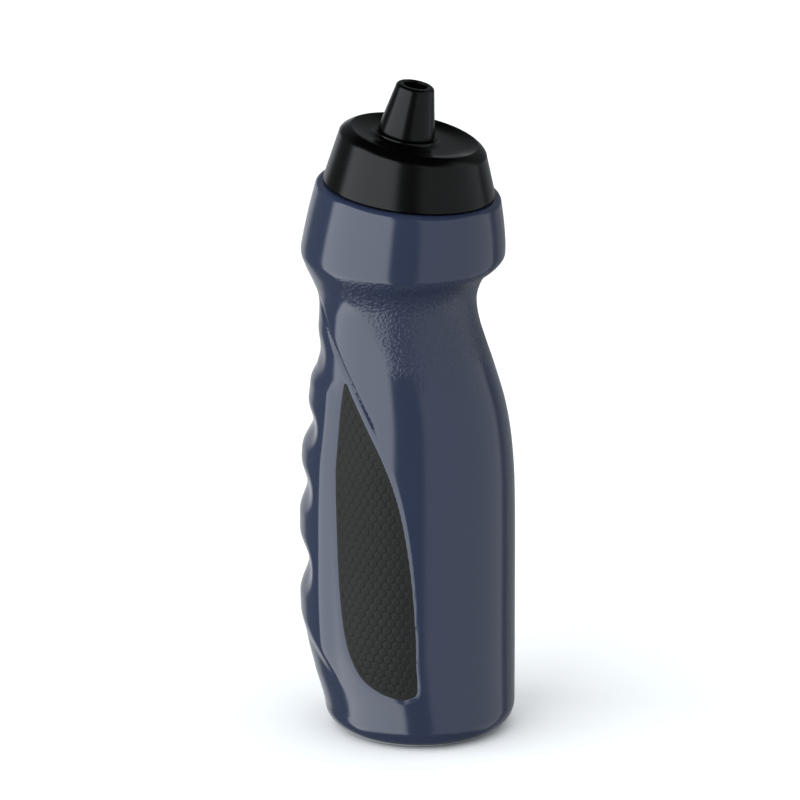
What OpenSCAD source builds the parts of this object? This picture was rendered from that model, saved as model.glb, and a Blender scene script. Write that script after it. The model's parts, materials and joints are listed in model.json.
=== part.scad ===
// Sports squeeze bottle: a soft blow-moulded body with finger grooves and two rubber grip pads,
// a slanted screw cap and a push-pull drinking nozzle.
// +Z is up, -X is the finger side, +X the palm side, and the two pads face -Y and +Y.
// The origin is on the standing plane, under the middle of the body. Millimetres and degrees.

/* [Body] */
// Distance from the axis to the palm side, where the body is widest
palm_reach = 39.3; // [33:0.1:48]
// Distance from the axis to the finger side, where the body is widest
finger_reach = 39.3; // [33:0.1:48]
// Depth across the two pad sides, where the body is widest
body_d = 74.6; // [62:0.2:90]
// Height where the body starts to narrow to the waist
hold_z = 91.6; // [76:0.2:112]
// Height of the waist
waist_z = 163.5; // [136:0.5:197]
// Distance from the axis to the palm side at the waist
waist_palm = 25.1; // [21:0.1:30]
// Distance from the axis to the finger side at the waist
waist_finger = 32; // [26:0.1:39]
// Wall of the blow-moulded body
wall = 1.2; // [1:0.05:1.6]

/* [Base] */
// Radius of the rounded bottom edge
foot_round = 9.4; // [8.8:0.2:12.8]
// Width of the standing ring
foot_ring = 4.2; // [3:0.2:6]
// How far the middle of the base is pushed up
punt_h = 3.7; // [2.5:0.1:5]
// Distance from the axis to the finger side at the base
base_finger = 29.5; // [27:0.1:36]

/* [Collar] */
// Height of the crisp lower edge of the collar, above the waist
collar_gap = 18.4; // [15.2:0.1:22.2]
// Distance from the axis to the palm side of the collar
collar_palm = 35.5; // [33.4:0.1:42]
// Distance from the axis to the finger side of the collar
collar_finger = 38.6; // [33.4:0.1:46]
// Height of the deck's centre above the collar's lower edge
deck_rise = 24.3; // [20.2:0.1:29.2]
// Outer radius of the deck that the cap stands over
deck_r = 33.9; // [32:0.1:40]
// Radius of the rounded edge of the deck
deck_round = 2.1; // [1:0.1:2.5]
// Lean of the deck, the neck and the thread towards the palm side
neck_lean = 6; // [3:0.5:8]
// Sideways place of the deck's centre
deck_x = 0.5; // [-1:0.1:1.5]

/* [Neck and thread] */
// Bore radius of the neck
neck_bore = 20.2; // [16.8:0.1:20.8]
// Wall of the neck
neck_wall = 1.9; // [1.5:0.1:2.3]
// Height of the neck above the deck
neck_h = 11.7; // [9.7:0.1:12.6]
// Pitch of the thread
pitch = 4.2; // [3.6:0.1:5]
// Turns of thread on the neck and in the cap
thread_turns = 1.3; // [1:0.1:1.5]
// How far a thread stands out
thread_h = 1.6; // [1.3:0.1:1.9]
// Width of a thread where it stands on the wall
thread_w = 1.7; // [1.4:0.1:2]
// Clearance between a thread and the wall that it faces
thread_gap = 0.4; // [0.3:0.05:0.6]

/* [Finger grooves] */
// Heights of the grooves' middles
groove_z = [64.2, 93.7, 117.2, 144.8];
// Depths of the grooves
groove_depth = [3.4, 2.6, 2.8, 1.3];
// Half heights of the grooves
groove_half = [12.8, 10.7, 9.6, 9.6];
// How far the finger zone stands out from the body
finger_rise = 1.4; // [0.8:0.1:2]
// Height of the lower end of the finger zone
finger_low = 36.2; // [30:0.2:43]
// Height of the upper end of the finger zone
finger_high = 139; // [130:0.5:145]

/* [Grip pads] */
// Height of a pad's lower end
pad_low = 20.7; // [17:0.1:25]
// Height of a pad's tip
pad_high = 139.5; // [118:0.5:144]
// Thickness of a pad
pad_t = 1.7; // [1:0.1:2.1]
// How far a pad's face lies below the body's surface
pad_inset = 0.3; // [0:0.05:0.5]
// Gap round a pad in its pocket
pad_gap = 0.15; // [0.1:0.05:0.3]

/* [Screw cap] */
// Radius of the skirt at its lower edge
skirt_r = 31.2; // [30.4:0.1:31.8]
// Wall of the skirt and of the top
cap_wall = 1.8; // [1.5:0.1:2.2]
// Gap between the cap and the deck
skirt_gap = 0.4; // [0.3:0.1:0.8]
// Height of the rim's centre above the deck, along the thread's axis
rim_rise = 20.1; // [19.4:0.1:24]
// Lean of the rim, the dish and the nozzle towards the palm side
rim_lean = 10.5; // [8:0.5:12]
// Radius of the dish's edge
dish_r = 22.8; // [20:0.1:24.4]
// Width of the flat rim round the dish
rim_flat = 0.6; // [0.5:0.1:1]
// Depth of the dish
dish_depth = 1.7; // [1:0.1:2.1]
// Width of the dish's sloping edge
dish_slope = 7.5; // [4:0.1:9]
// Radius of the shoulder where the skirt meets the rounded rim
shoulder_r = 27.2; // [26.4:0.1:28.6]
// Drop from the dish's edge to the shoulder
shoulder_drop = 3.4; // [2.6:0.1:4.4]
// Wall of the threaded sleeve inside the cap
sleeve_wall = 1.7; // [1.4:0.1:1.8]
// Thickness of the seal between the cap and the neck
seal_t = 1.6; // [1.2:0.1:2]
// Radial width of the seal
seal_w = 4.2; // [3:0.1:4.6]
// Gap on each face of the seal
seal_gap = 0.06; // [0.04:0.01:0.1]

/* [Nozzle] */
// Place of the nozzle on the dish, towards the palm side from the dish's centre
nozzle_offset = -3.1; // [-4:0.1:0]
// Radius of the nozzle's foot
nozzle_r = 10.4; // [9.4:0.1:12.4]
// Radius of the nozzle's tip
tip_r = 7.1; // [6.7:0.1:8.4]
// Height of the nozzle
nozzle_h = 18.6; // [17.4:0.1:22.4]
// Radius of the nozzle's rounded lip
lip_round = 1.4; // [0.8:0.1:1.6]
// Radius of the drinking hole at the lip
hole_r = 4.4; // [3.6:0.1:5]
// Radius of the orifice that the valve post closes
orifice_r = 2.8; // [2.3:0.05:3.2]
// How far the nozzle pulls out
nozzle_travel = 6.5; // [4.5:0.1:7]
// Height of the pedestal that the nozzle sits on
pedestal_h = 1.5; // [1:0.1:2]
// Width of the pedestal's flare
flare = 3.2; // [2:0.1:4]
// Gap under the closed nozzle
foot_gap = 0.3; // [0.2:0.05:0.5]

/* [Spout boss and valve] */
// Outer radius of the spout boss that the nozzle slides on
boss_r = 6; // [5.4:0.05:6.2]
// Wall of the spout boss
boss_wall = 1.8; // [1.5:0.05:2.1]
// Height of the spout boss above the dish
boss_h = 13.5; // [12.6:0.1:14.4]
// How far the retaining bead stands out from the boss
bead = 0.35; // [0.2:0.05:0.4]
// Radial clearance of the nozzle's bore over the bead
bore_gap = 0.35; // [0.3:0.05:0.45]
// Radius of the O-ring's cord
ring_cord = 0.7; // [0.6:0.05:0.75]
// Running clearance of the O-ring and of the valve plug
running = 0.04; // [0.02:0.01:0.08]
// Clearance of the nozzle's guide ring round the boss
guide_gap = 0.08; // [0.04:0.01:0.1]
// Radius of the valve post
post_r = 1.6; // [1.3:0.1:1.9]

/* [Hidden] */

body_w = palm_reach + finger_reach;
crease_z = waist_z + collar_gap;
collar_roll = 2.4;
collar_bulge = 0.9;
widest_z = crease_z + collar_roll;
deck_z = crease_z + deck_rise;
deck_centre = [deck_x, 0, deck_z];
around = 60;
around_inside = 36;
around_cap = 72;

// Fades of the finger zone: upwards and downwards in millimetres, and round the body in degrees
finger_fade = 13;
finger_top_fade = 6;
finger_turn = 26;
finger_turn_fade = 20;
groove_turn = 33;
// Rings of the base inside the standing ring: [distance inwards, share of the punt's height]
punt_rings = [[9, 0.8], [3, 0.3]];
punt_inside = 5;
// Inside of the deck's edge: width and height of its fillet
deck_fillet_w = 3;
deck_fillet_h = 0.8;

thread_steps = 40;
thread_start = 2.4;
thread_fade = 4;
thread_seat = 0.2;
thread_sunk = 0.5;

pad_rows = 26;
pad_cols = 8;
pad_crowding = 0.4;
pocket_over = 3;
// Degrees of turn for each millimetre of the gap round a pad
gap_turn = 1.7;
// The wall behind a pad: how far past the pad it stays pressed in, and how far it takes to come back
press_past = 4;
press_fade = 10;
press_turn = 4;
press_turn_fade = 14;

// How far a cut runs past the surface that it opens
cut = 1;
seal_slack = 0.5;
recess_step = 3.5;
recess_h = 8;
dish_clear = 3;
hollow_top = 7.6;
hollow_least = 0.1;
skirt_draft = 0.1;

// Along the boss: the bead, the lands beside the O-ring's groove, and the room in that groove
bead_h = 1;
ring_land = 0.4;
top_land = 0.7;
ring_slack = 0.1;
ring_floor = 0.03;
boss_sunk = 0.2;
boss_chamfer = 0.2;
pedestal_lip = 0.3;
foot_chamfer = 0.3;
hole_chamfer = 0.5;
orifice_rise = 1.2;
plug_h = 1.8;

post_fit = 0.03;
post_ring_wall = 0.8;
post_ring_h = 3;
spoke_w = 1;
plug_low = 0.4;
plug_taper = 1.1;
plug_top_step = 0.7;
plug_top_h = 0.5;

seat_h = neck_h + seal_t + 2 * seal_gap;
neck_r = neck_bore + neck_wall;
sleeve_r = neck_r + thread_h + thread_gap;
nozzle_bore = boss_r + bead + bore_gap;
nozzle_foot = pedestal_h + foot_gap;
pedestal_r = nozzle_r + pedestal_lip;

function mix(a, b, t) = a + (b - a) * t;
function clamp(t) = min(1, max(0, t));
function ease(t) = let (u = clamp(t)) u * u * (3 - 2 * u);

// A smooth curve through [place, value] knots, with each slope taken from its neighbours
function span(k, z, i = 0) = i >= len(k) - 2 || z < k[i + 1][0] ? i : span(k, z, i + 1);
function slope(k, i) =
    let (a = max(0, i - 1), b = min(len(k) - 1, i + 1)) (k[b][1] - k[a][1]) / (k[b][0] - k[a][0]);
function curve(k, z) =
    let (i = span(k, z), h = k[i + 1][0] - k[i][0], t = clamp((z - k[i][0]) / h))
    (1 + 2 * t) * (1 - t) * (1 - t) * k[i][1] + t * (1 - t) * (1 - t) * h * slope(k, i)
    + t * t * (3 - 2 * t) * k[i + 1][1] - t * t * (1 - t) * h * slope(k, i + 1);

// The body's outline on each side: [height, distance from the axis]
palm_line = [
    [0, palm_reach], [hold_z * 0.5, palm_reach], [hold_z, palm_reach - 0.2],
    for (p = [[0.25, 0.91], [0.45, 0.75], [0.64, 0.48], [0.78, 0.25], [0.9, 0.07]])
        [mix(hold_z, waist_z, p[0]), mix(waist_palm, palm_reach, p[1])],
    [waist_z, waist_palm],
    for (p = [[0.25, 0.05], [0.5, 0.22], [0.65, 0.42], [0.8, 0.76], [0.93, 0.95]])
        [mix(waist_z, crease_z, p[0]), mix(waist_palm, collar_palm, p[1])],
    [crease_z, collar_palm - 0.1], [widest_z, collar_palm]
];
finger_line = [
    [0, base_finger], [foot_round, base_finger + 0.8], [foot_round + 15, base_finger + 4.8],
    [foot_round + 30, finger_reach - finger_rise - 0.6],
    [mix(foot_round, hold_z, 0.85), finger_reach - finger_rise],
    for (p = [[0.18, 0.88], [0.36, 0.62], [0.54, 0.36], [0.72, 0.17], [0.86, 0.06]])
        [mix(hold_z, waist_z, p[0]), mix(waist_finger, finger_reach - finger_rise, p[1])],
    [waist_z, waist_finger],
    for (p = [[0.25, 0.13], [0.5, 0.41], [0.75, 0.73]])
        [mix(waist_z, crease_z, p[0]), mix(waist_finger, collar_finger, p[1])],
    [crease_z, collar_finger - 0.1], [widest_z, collar_finger]
];
function middle_x(z) = (curve(palm_line, z) - curve(finger_line, z)) / 2;
function half_w(z) = (curve(palm_line, z) + curve(finger_line, z)) / 2;
function half_d(z) = half_w(z) * body_d / body_w;

// The finger zone stands out round the finger side, and the grooves are pressed into it.
// turn is the angle from +X, so the finger side is at 180.
function off_finger(turn) = abs(turn - 180);
function groove(i, z, turn) =
    let (v = (z - groove_z[i]) / groove_half[i], s = off_finger(turn) / groove_turn)
    groove_depth[i] * (1 - ease(sqrt(v * v + pow(s, 4))));
function relief(z, turn) =
    finger_rise * (1 - ease((off_finger(turn) - finger_turn) / finger_turn_fade))
    * ease((z - finger_low) / finger_fade) * (1 - ease((z - finger_high) / finger_top_fade + 1))
    - groove(0, z, turn) - groove(1, z, turn) - groove(2, z, turn) - groove(3, z, turn);

// A point on the body's wall at a height and an angle, moved outwards by out
function wall_point(z, turn, out) =
    let (a = half_w(z), b = half_d(z), n = norm([cos(turn) / a, sin(turn) / b]))
    [middle_x(z) + a * cos(turn) + out * cos(turn) / a / n, b * sin(turn) + out * sin(turn) / b / n, z];
function ring_of(z, n, out) =
    [for (j = [0:n - 1]) let (t = 360 * j / n) wall_point(z, t, out + relief(z, t))];

// The rounded bottom edge at an angle from the floor, for an edge of radius r
function foot_edge(angle, r, n, out, lift) =
    let (z = r - r * cos(angle) + lift, z0 = r + lift)
    [for (j = [0:n - 1]) let (t = 360 * j / n, p = wall_point(z0, t, out - r + r * sin(angle)))
        [p[0], p[1], z]];

// A round ring on an axis that leans towards the palm side: its radius and height over a centre
function axis_of(lean) = [sin(lean), 0, cos(lean)];
function leaning(centre, lean, r, h, n) =
    [for (j = [0:n - 1]) let (t = 360 * j / n)
        centre + h * axis_of(lean) + r * [cos(t) * cos(lean), sin(t), -cos(t) * sin(lean)]];

// A ring of the collar's side, from the widest level at 0 to the deck's rounded edge at 1
function collar_ring(t, n, out) =
    let (a = mix(half_w(widest_z), deck_r, t) + collar_bulge * t * (1 - t) + out,
         ratio = mix(body_d / body_w, 1, t),
         lean = neck_lean * t,
         x = mix(middle_x(widest_z), deck_x - deck_round * sin(neck_lean), t),
         z = mix(widest_z, deck_z - deck_round * cos(neck_lean), t))
    [for (j = [0:n - 1]) let (q = 360 * j / n, u = a * cos(q))
        [x + u * cos(lean), ratio * a * sin(q), z - u * sin(lean)]];

// A closed solid from rings of equal length, with a point at the middle of each end
module loft(rings, bottom, top) {
    n = len(rings[0]);
    rows = len(rings);
    points = [bottom, for (r = rings) each r, top];
    last = len(points) - 1;
    polyhedron(points, [
        for (j = [0:n - 1]) [0, 1 + j, 1 + (j + 1) % n],
        for (i = [0:rows - 2], j = [0:n - 1])
            let (a = 1 + i * n + j, b = 1 + i * n + (j + 1) % n)
            each [[a, a + n, b], [b, a + n, b + n]],
        for (j = [0:n - 1]) [last, 1 + (rows - 1) * n + (j + 1) % n, 1 + (rows - 1) * n + j]
    ]);
}

side_heights = [for (i = [1:18]) mix(foot_round, hold_z + 2, i / 18)];
taper_heights = [for (i = [1:15]) mix(hold_z + 2, waist_z, i / 15)];
under_heights = [for (t = [0.2, 0.4, 0.55, 0.7, 0.85, 1]) mix(waist_z, crease_z, t)];

module body_outside() {
    n = around;
    loft([
        for (p = punt_rings) base_ring(half_w(0) - foot_round - foot_ring - p[0], punt_h * p[1], n),
        foot_inner(n),
        for (a = [0, 22.5, 45, 67.5, 90]) foot_edge(a, foot_round, n, 0, 0),
        for (z = side_heights) ring_of(z, n, 0),
        for (z = taper_heights) ring_of(z, n, 0),
        for (z = under_heights) ring_of(z, n, 0),
        for (i = [0:5]) collar_ring(i / 5, n, 0),
        for (a = [30, 60, 90])
            leaning(deck_centre, neck_lean, deck_r + deck_round * (cos(a) - 1), deck_round * (sin(a) - 1), n)
    ], [middle_x(0), 0, punt_h], deck_centre);
}

// Flat rings of the base, inside the standing ring
function base_ring(r, z, n) =
    [for (j = [0:n - 1]) let (t = 360 * j / n) [middle_x(0) + r * cos(t), r * body_d / body_w * sin(t), z]];
function foot_inner(n) =
    [for (j = [0:n - 1]) let (t = 360 * j / n, p = wall_point(foot_round, t, -foot_round - foot_ring))
        [p[0], p[1], 0]];

module body_inside() {
    n = around_inside;
    loft([
        base_ring(half_w(0) - foot_round - foot_ring - punt_inside, punt_h + wall, n),
        for (a = [10, 50, 90]) foot_edge(a, foot_round - wall, n, -wall, wall),
        for (z = side_heights) inside_ring(z, n),
        for (z = taper_heights) inside_ring(z, n),
        inside_ring(mix(waist_z, crease_z, 0.5), n),
        inside_ring(crease_z, n),
        collar_ring(0.1, n, -wall),
        collar_ring(0.8, n, -wall),
        leaning(deck_centre, neck_lean, deck_r - deck_round, -wall - deck_fillet_h, n),
        leaning(deck_centre, neck_lean, deck_r - deck_round - deck_fillet_w, -wall, n)
    ], [middle_x(0), 0, punt_h + wall], deck_centre - wall * axis_of(neck_lean));
}
// Behind a pad the wall is pressed in, so that it stays as thick as elsewhere
function pressed(z, turn) =
    let (q = abs(turn - 180), c = 90 + pad_swing(z))
    (pad_t + pad_inset + pad_gap) * (1 - ease((abs(q - (180 - c)) - pad_turn(z) - press_turn) / press_turn_fade))
    * ease((z - pad_low + press_past) / press_fade + 1) * (1 - ease((z - pad_high - press_past) / press_fade));
function inside_ring(z, n) =
    [for (j = [0:n - 1]) let (t = 360 * j / n)
        wall_point(z, t, min(0, relief(z, t)) - wall - pressed(z, t))];

// A pad's outline on the wall: at a share of its height, the angle of its middle past the -Y or +Y
// direction towards the finger side, and its half width as an angle
pad_line = [[0, 7, 3], [0.018, 9.5, 10.5], [0.054, 13.5, 16.1], [0.12, 16, 19.3], [0.21, 17.8, 21.4],
            [0.39, 20.5, 22.1], [0.58, 23.8, 20.5], [0.7, 27.3, 18.4], [0.78, 30.4, 15.9], [0.84, 33.2, 13.3],
            [0.92, 37.4, 8.6], [1, 42.3, 1.2]];
function pad_share(z) = clamp((z - pad_low) / (pad_high - pad_low));
function pad_swing(z) = curve([for (p = pad_line) [p[0], p[1]]], pad_share(z));
function pad_turn(z) = curve([for (p = pad_line) [p[0], p[2]]], pad_share(z));

// A pad or its pocket on the -Y side, from depth under to height over the body's surface
module pad_solid(under, over, grow) {
    rows = pad_rows;
    cols = pad_cols;
    zs = [for (i = [0:rows]) let (s = i / rows)
        mix(pad_low - grow, pad_high + grow, mix(s, (1 - cos(180 * s)) / 2, pad_crowding))];
    function at(i, j, out) = let (z = zs[i], g = grow * gap_turn)
        wall_point(z, 270 - pad_swing(z) + (2 * j / cols - 1) * (pad_turn(z) + g), out);
    w = cols + 1;
    face = (rows + 1) * w;
    polyhedron(
        [for (out = [over, -under], i = [0:rows], j = [0:cols]) at(i, j, out)],
        [
            for (i = [0:rows - 1], j = [0:cols - 1]) let (a = i * w + j)
                each [[a, a + w, a + 1], [a + 1, a + w, a + w + 1]],
            for (i = [0:rows - 1], j = [0:cols - 1]) let (a = face + i * w + j)
                each [[a, a + 1, a + w], [a + 1, a + w + 1, a + w]],
            for (i = [0:rows - 1]) let (a = i * w, b = face + i * w)
                each [[a, b, a + w], [a + w, b, b + w]],
            for (i = [0:rows - 1]) let (a = i * w + cols, b = face + i * w + cols)
                each [[a, a + w, b], [a + w, b + w, b]],
            for (j = [0:cols - 1]) let (a = j, b = face + j) each [[a, a + 1, b], [a + 1, b + 1, b]],
            for (j = [0:cols - 1]) let (a = rows * w + j, b = face + rows * w + j)
                each [[a, b, a + 1], [a + 1, b, b + 1]]
        ]);
}

// Places its children on the deck's centre, along the neck
module on_neck() translate(deck_centre) rotate([0, neck_lean, 0]) children();
// Places its children at the centre of the dish's edge, along the rim's own axis
module on_rim() on_neck() translate([0, 0, rim_rise]) rotate([0, rim_lean - neck_lean, 0]) children();
// Places its children on the dish's floor at the nozzle's axis
module on_dish() on_rim() translate([nozzle_offset, 0, -dish_depth]) children();

// A helical ridge on a wall of radius root. It stands out by out, which is negative inside a cap,
// its foot is sunk into the wall, and it fades out at both ends.
module thread(root, out, start) {
    count = round(thread_turns * thread_steps);
    sunk = thread_sunk * sign(out);
    foot_half = thread_w / 2 * (1 + abs(sunk / out) / 2);
    crest_half = thread_w / 4;
    rings = [for (i = [0:count])
        let (t = 360 * i / thread_steps, z = start + pitch * i / thread_steps,
             crest = root + out * min(1, (min(i, count - i) + thread_seat) / thread_fade))
        [for (p = [[root - sunk, -foot_half], [crest, -crest_half], [crest, crest_half], [root - sunk, foot_half]])
            [p[0] * cos(t), p[0] * sin(t), z + p[1]]]];
    n = 4;
    sides = [for (i = [0:count - 1], j = [0:n - 1]) let (a = i * n + j, b = i * n + (j + 1) % n)
        each [[a, b, a + n], [b, b + n, a + n]]];
    faces = concat(sides, [[3, 2, 1, 0], [for (j = [0:3]) count * n + j]]);
    polyhedron([for (r = rings) each r],
               out > 0 ? faces : [for (f = faces) [for (i = [len(f) - 1:-1:0]) f[i]]]);
}

module bottle_body() color([0.20, 0.23, 0.33]) {
    difference() {
        union() {
            difference() {
                body_outside();
                body_inside();
                for (s = [1, -1]) scale([1, s, 1]) pad_solid(pad_t + pad_inset + pad_gap, pocket_over, pad_gap);
            }
            on_neck() translate([0, 0, -wall]) cylinder(r = neck_r, h = neck_h + wall, $fn = 96);
            on_neck() thread(neck_r, thread_h, thread_start);
        }
        on_neck() translate([0, 0, -2 * wall]) cylinder(r = neck_bore, h = neck_h + 4 * wall, $fn = 96);
    }
}

module grip_pad_left() color([0.10, 0.10, 0.10]) pad_solid(pad_t + pad_inset, -pad_inset, 0);
module grip_pad_right() color([0.10, 0.10, 0.10]) mirror([0, 1, 0]) grip_pad_left();

// The cap's outside: a skirt that stands square on the neck and rises to a rim with its own lean
rim_centre = deck_centre + rim_rise * axis_of(neck_lean);
module cap_outside() {
    n = around_cap;
    loft([
        leaning(deck_centre, neck_lean, skirt_r, skirt_gap, n),
        for (a = [0, 15, 30, 45, 60, 75, 90])
            leaning(rim_centre, rim_lean, mix(dish_r + rim_flat, shoulder_r, cos(a)),
                    -shoulder_drop * (cos(a) + 1 - sin(a)) / 2, n)
    ], deck_centre + skirt_gap * axis_of(neck_lean), rim_centre);
}

module screw_cap() color([0.09, 0.09, 0.09]) {
    difference() {
        union() {
            difference() {
                cap_outside();
                on_rim() dish_cut();
                on_neck() translate([0, 0, -cut]) cylinder(r = sleeve_r, h = seat_h + cut, $fn = 96);
                on_rim() translate([0, 0, -dish_depth - cap_wall - recess_h])
                    cylinder(r = neck_bore - recess_step, h = recess_h, $fn = 96);
                on_neck() skirt_hollow();
            }
            on_dish() boss();
            on_neck() thread(sleeve_r, -thread_h, thread_start + pitch / 2);
        }
        on_dish() translate([0, 0, -cap_wall - cut])
            cylinder(r = boss_r - boss_wall, h = cap_wall + boss_h + 2 * cut, $fn = 64);
        on_dish() translate([0, 0, ring_z]) ring_groove();
    }
}
// The dish: it falls away gently inside the rim's edge, then it is flat
module dish_cut() rotate_extrude($fn = 96) polygon([
    [0, dish_clear], [dish_r, dish_clear],
    for (a = [0:15:90]) [dish_r - dish_slope * a / 90, -dish_depth * sin(a)],
    [0, -dish_depth]
]);
// The hollow between the sleeve and the skirt
function skirt_inner(h) = mix(skirt_r, shoulder_r, h / (rim_rise - shoulder_drop)) - cap_wall - skirt_draft;
module skirt_hollow() rotate_extrude($fn = 96) polygon([
    [sleeve_r + sleeve_wall, -cut], [skirt_inner(-cut), -cut],
    [max(skirt_inner(hollow_top), sleeve_r + sleeve_wall + hollow_least), hollow_top],
    [sleeve_r + sleeve_wall, hollow_top]
]);
// The spout boss: a flared pedestal, a tube, and a bead that keeps the nozzle on
bead_under = boss_h - top_land - 2 * ring_cord - ring_land - bead_h;
bead_top = bead_under + bead_h;
ring_z = bead_top + ring_land + ring_cord;
module boss() rotate_extrude($fn = 96) polygon([
    [0, -cap_wall / 2], [pedestal_r + flare, -cap_wall / 2],
    for (a = [0:22.5:90]) [pedestal_r + flare * (1 - sin(a)), mix(-boss_sunk, pedestal_h, 1 - cos(a))],
    [boss_r, pedestal_h], [boss_r, bead_under],
    [boss_r + bead, bead_under + bead], [boss_r + bead, bead_top - bead], [boss_r, bead_top],
    [boss_r, boss_h - boss_chamfer], [boss_r - boss_chamfer, boss_h], [0, boss_h]
]);
module ring_groove() rotate_extrude($fn = 96)
    translate([groove_floor, -ring_cord - ring_slack]) square([boss_r, 2 * (ring_cord + ring_slack)]);
groove_floor = nozzle_bore - running - 2 * ring_cord - ring_floor;

module cap_seal() color([0.75, 0.76, 0.78]) on_neck() rotate_extrude($fn = 96)
    translate([sleeve_r - seal_slack - seal_w, neck_h + seal_gap]) square([seal_w, seal_t]);

// The nozzle: a tapering tube over the boss, with an orifice that the valve post closes
orifice_z = boss_h + orifice_rise;
// The nozzle's guide ring comes to rest under the bead when the nozzle is pulled out
guide_top = bead_under - nozzle_travel - foot_gap;
module nozzle() color([0.09, 0.09, 0.09]) on_dish() difference() {
    rotate_extrude($fn = 96) polygon([
        [0, nozzle_foot], [nozzle_r - foot_chamfer, nozzle_foot], [nozzle_r, nozzle_foot + foot_chamfer],
        for (a = [0:15:90])
            [tip_r - lip_round + lip_round * cos(a), nozzle_foot + nozzle_h - lip_round + lip_round * sin(a)],
        [hole_r + hole_chamfer, nozzle_foot + nozzle_h], [hole_r, nozzle_foot + nozzle_h - hole_chamfer],
        [0, nozzle_foot + nozzle_h - hole_chamfer]
    ]);
    translate([0, 0, nozzle_foot - cut])
        cylinder(r = boss_r + guide_gap, h = guide_top - nozzle_foot + 2 * cut, $fn = 64);
    translate([0, 0, guide_top]) cylinder(r = nozzle_bore, h = orifice_z - guide_top, $fn = 64);
    translate([0, 0, orifice_z - cut]) cylinder(r = orifice_r, h = plug_h + 2 * cut, $fn = 64);
    translate([0, 0, orifice_z + plug_h]) cylinder(r = hole_r, h = nozzle_h, $fn = 64);
}

module nozzle_ring() color([0.15, 0.15, 0.15]) on_dish() translate([0, 0, ring_z])
    rotate_extrude($fn = 96) translate([nozzle_bore - running - ring_cord, 0]) circle(r = ring_cord, $fn = 48);

// The valve post: a ring pressed into the boss, three spokes, a stem and the plug
module valve_post() color([0.13, 0.13, 0.13]) on_dish() {
    bore = boss_r - boss_wall;
    difference() {
        translate([0, 0, -cap_wall]) cylinder(r = bore - post_fit, h = post_ring_h, $fn = 64);
        translate([0, 0, -cap_wall - cut])
            cylinder(r = bore - post_ring_wall, h = post_ring_h + 2 * cut, $fn = 64);
    }
    for (a = [0:120:240]) rotate([0, 0, a]) translate([0, -spoke_w / 2, -cap_wall])
        cube([bore - post_ring_wall / 2, spoke_w, post_ring_h]);
    translate([0, 0, -cap_wall]) cylinder(r = post_r, h = orifice_z + cap_wall, $fn = 48);
    translate([0, 0, orifice_z - plug_low]) rotate_extrude($fn = 64) polygon([
        [0, -plug_taper], [post_r, -plug_taper], [orifice_r - running, 0], [orifice_r - running, plug_h],
        [orifice_r - plug_top_step, plug_h + plug_top_h], [0, plug_h + plug_top_h]
    ]);
}

bottle_body();
grip_pad_left();
grip_pad_right();
screw_cap();
cap_seal();
valve_post();
nozzle();
nozzle_ring();
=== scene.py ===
import json
import math

import bpy
import numpy as np
from bpy.props import FloatProperty, FloatVectorProperty, IntProperty, PointerProperty
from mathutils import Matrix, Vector


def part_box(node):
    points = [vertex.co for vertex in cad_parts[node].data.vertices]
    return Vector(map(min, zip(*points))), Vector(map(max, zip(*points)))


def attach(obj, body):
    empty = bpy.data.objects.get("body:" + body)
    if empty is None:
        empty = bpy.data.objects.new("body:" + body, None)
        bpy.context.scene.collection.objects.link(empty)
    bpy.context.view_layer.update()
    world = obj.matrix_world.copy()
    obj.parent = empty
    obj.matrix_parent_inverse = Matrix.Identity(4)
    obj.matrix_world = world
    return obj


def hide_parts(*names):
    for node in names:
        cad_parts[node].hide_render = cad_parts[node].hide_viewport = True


bl_info = {
    "name": "Sports squeeze bottle",
    "version": (1, 0, 0),
    "blender": (4, 5, 0),
    "location": "View3D > Sidebar > Squeeze bottle",
    "description": "Builds a squeeze bottle with grip pads and a push-pull nozzle round its frame",
    "category": "Object",
}

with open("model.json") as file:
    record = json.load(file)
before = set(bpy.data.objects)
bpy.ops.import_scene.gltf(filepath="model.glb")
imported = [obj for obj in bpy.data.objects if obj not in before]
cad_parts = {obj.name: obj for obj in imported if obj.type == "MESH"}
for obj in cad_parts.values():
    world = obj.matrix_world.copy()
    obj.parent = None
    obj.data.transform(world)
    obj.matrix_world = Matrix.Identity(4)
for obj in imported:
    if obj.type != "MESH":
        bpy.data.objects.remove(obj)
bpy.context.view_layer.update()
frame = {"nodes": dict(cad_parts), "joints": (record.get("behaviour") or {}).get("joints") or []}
MM = 0.001
TURN = 2 * math.pi


# ---------------------------------------------------------------- what the frame gives

def joint(name):
    """The packed joint of that name."""
    return next(j for j in frame["joints"] if j["name"] == name)


def lean_of(name):
    """How far a joint's axis leans from +Z towards +X, in radians."""
    axis = joint(name)["axis"]
    return math.atan2(axis[0], axis[2])


BODY_LOW, BODY_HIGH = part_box("bottle_body")
PAD_LOW, PAD_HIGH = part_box("grip_pad_left")
DECK = np.array(joint("cap_turn")["pos_m"])
NECK_LEAN = lean_of("cap_turn")
RIM_LEAN = lean_of("nozzle_pull")
TRAVEL = joint("nozzle_pull")["range_m"][1]


# ---------------------------------------------------------------- sizes and finishes

def length(name, millimetres, description):
    """A length property, given in millimetres and kept in metres."""
    return FloatProperty(name=name, description=description, default=millimetres * MM,
                         min=0.0, subtype="DISTANCE", unit="LENGTH", precision=5)


def number(name, value, description):
    """A plain number property."""
    return FloatProperty(name=name, description=description, default=value)


def count(name, value, least, description):
    """A whole-number property with a least value."""
    return IntProperty(name=name, description=description, default=value, min=least)


def colour(name, value, description):
    """A colour property, in linear light."""
    return FloatVectorProperty(name=name, description=description, default=value, size=3,
                               min=0.0, max=1.0, subtype="COLOR")


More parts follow.
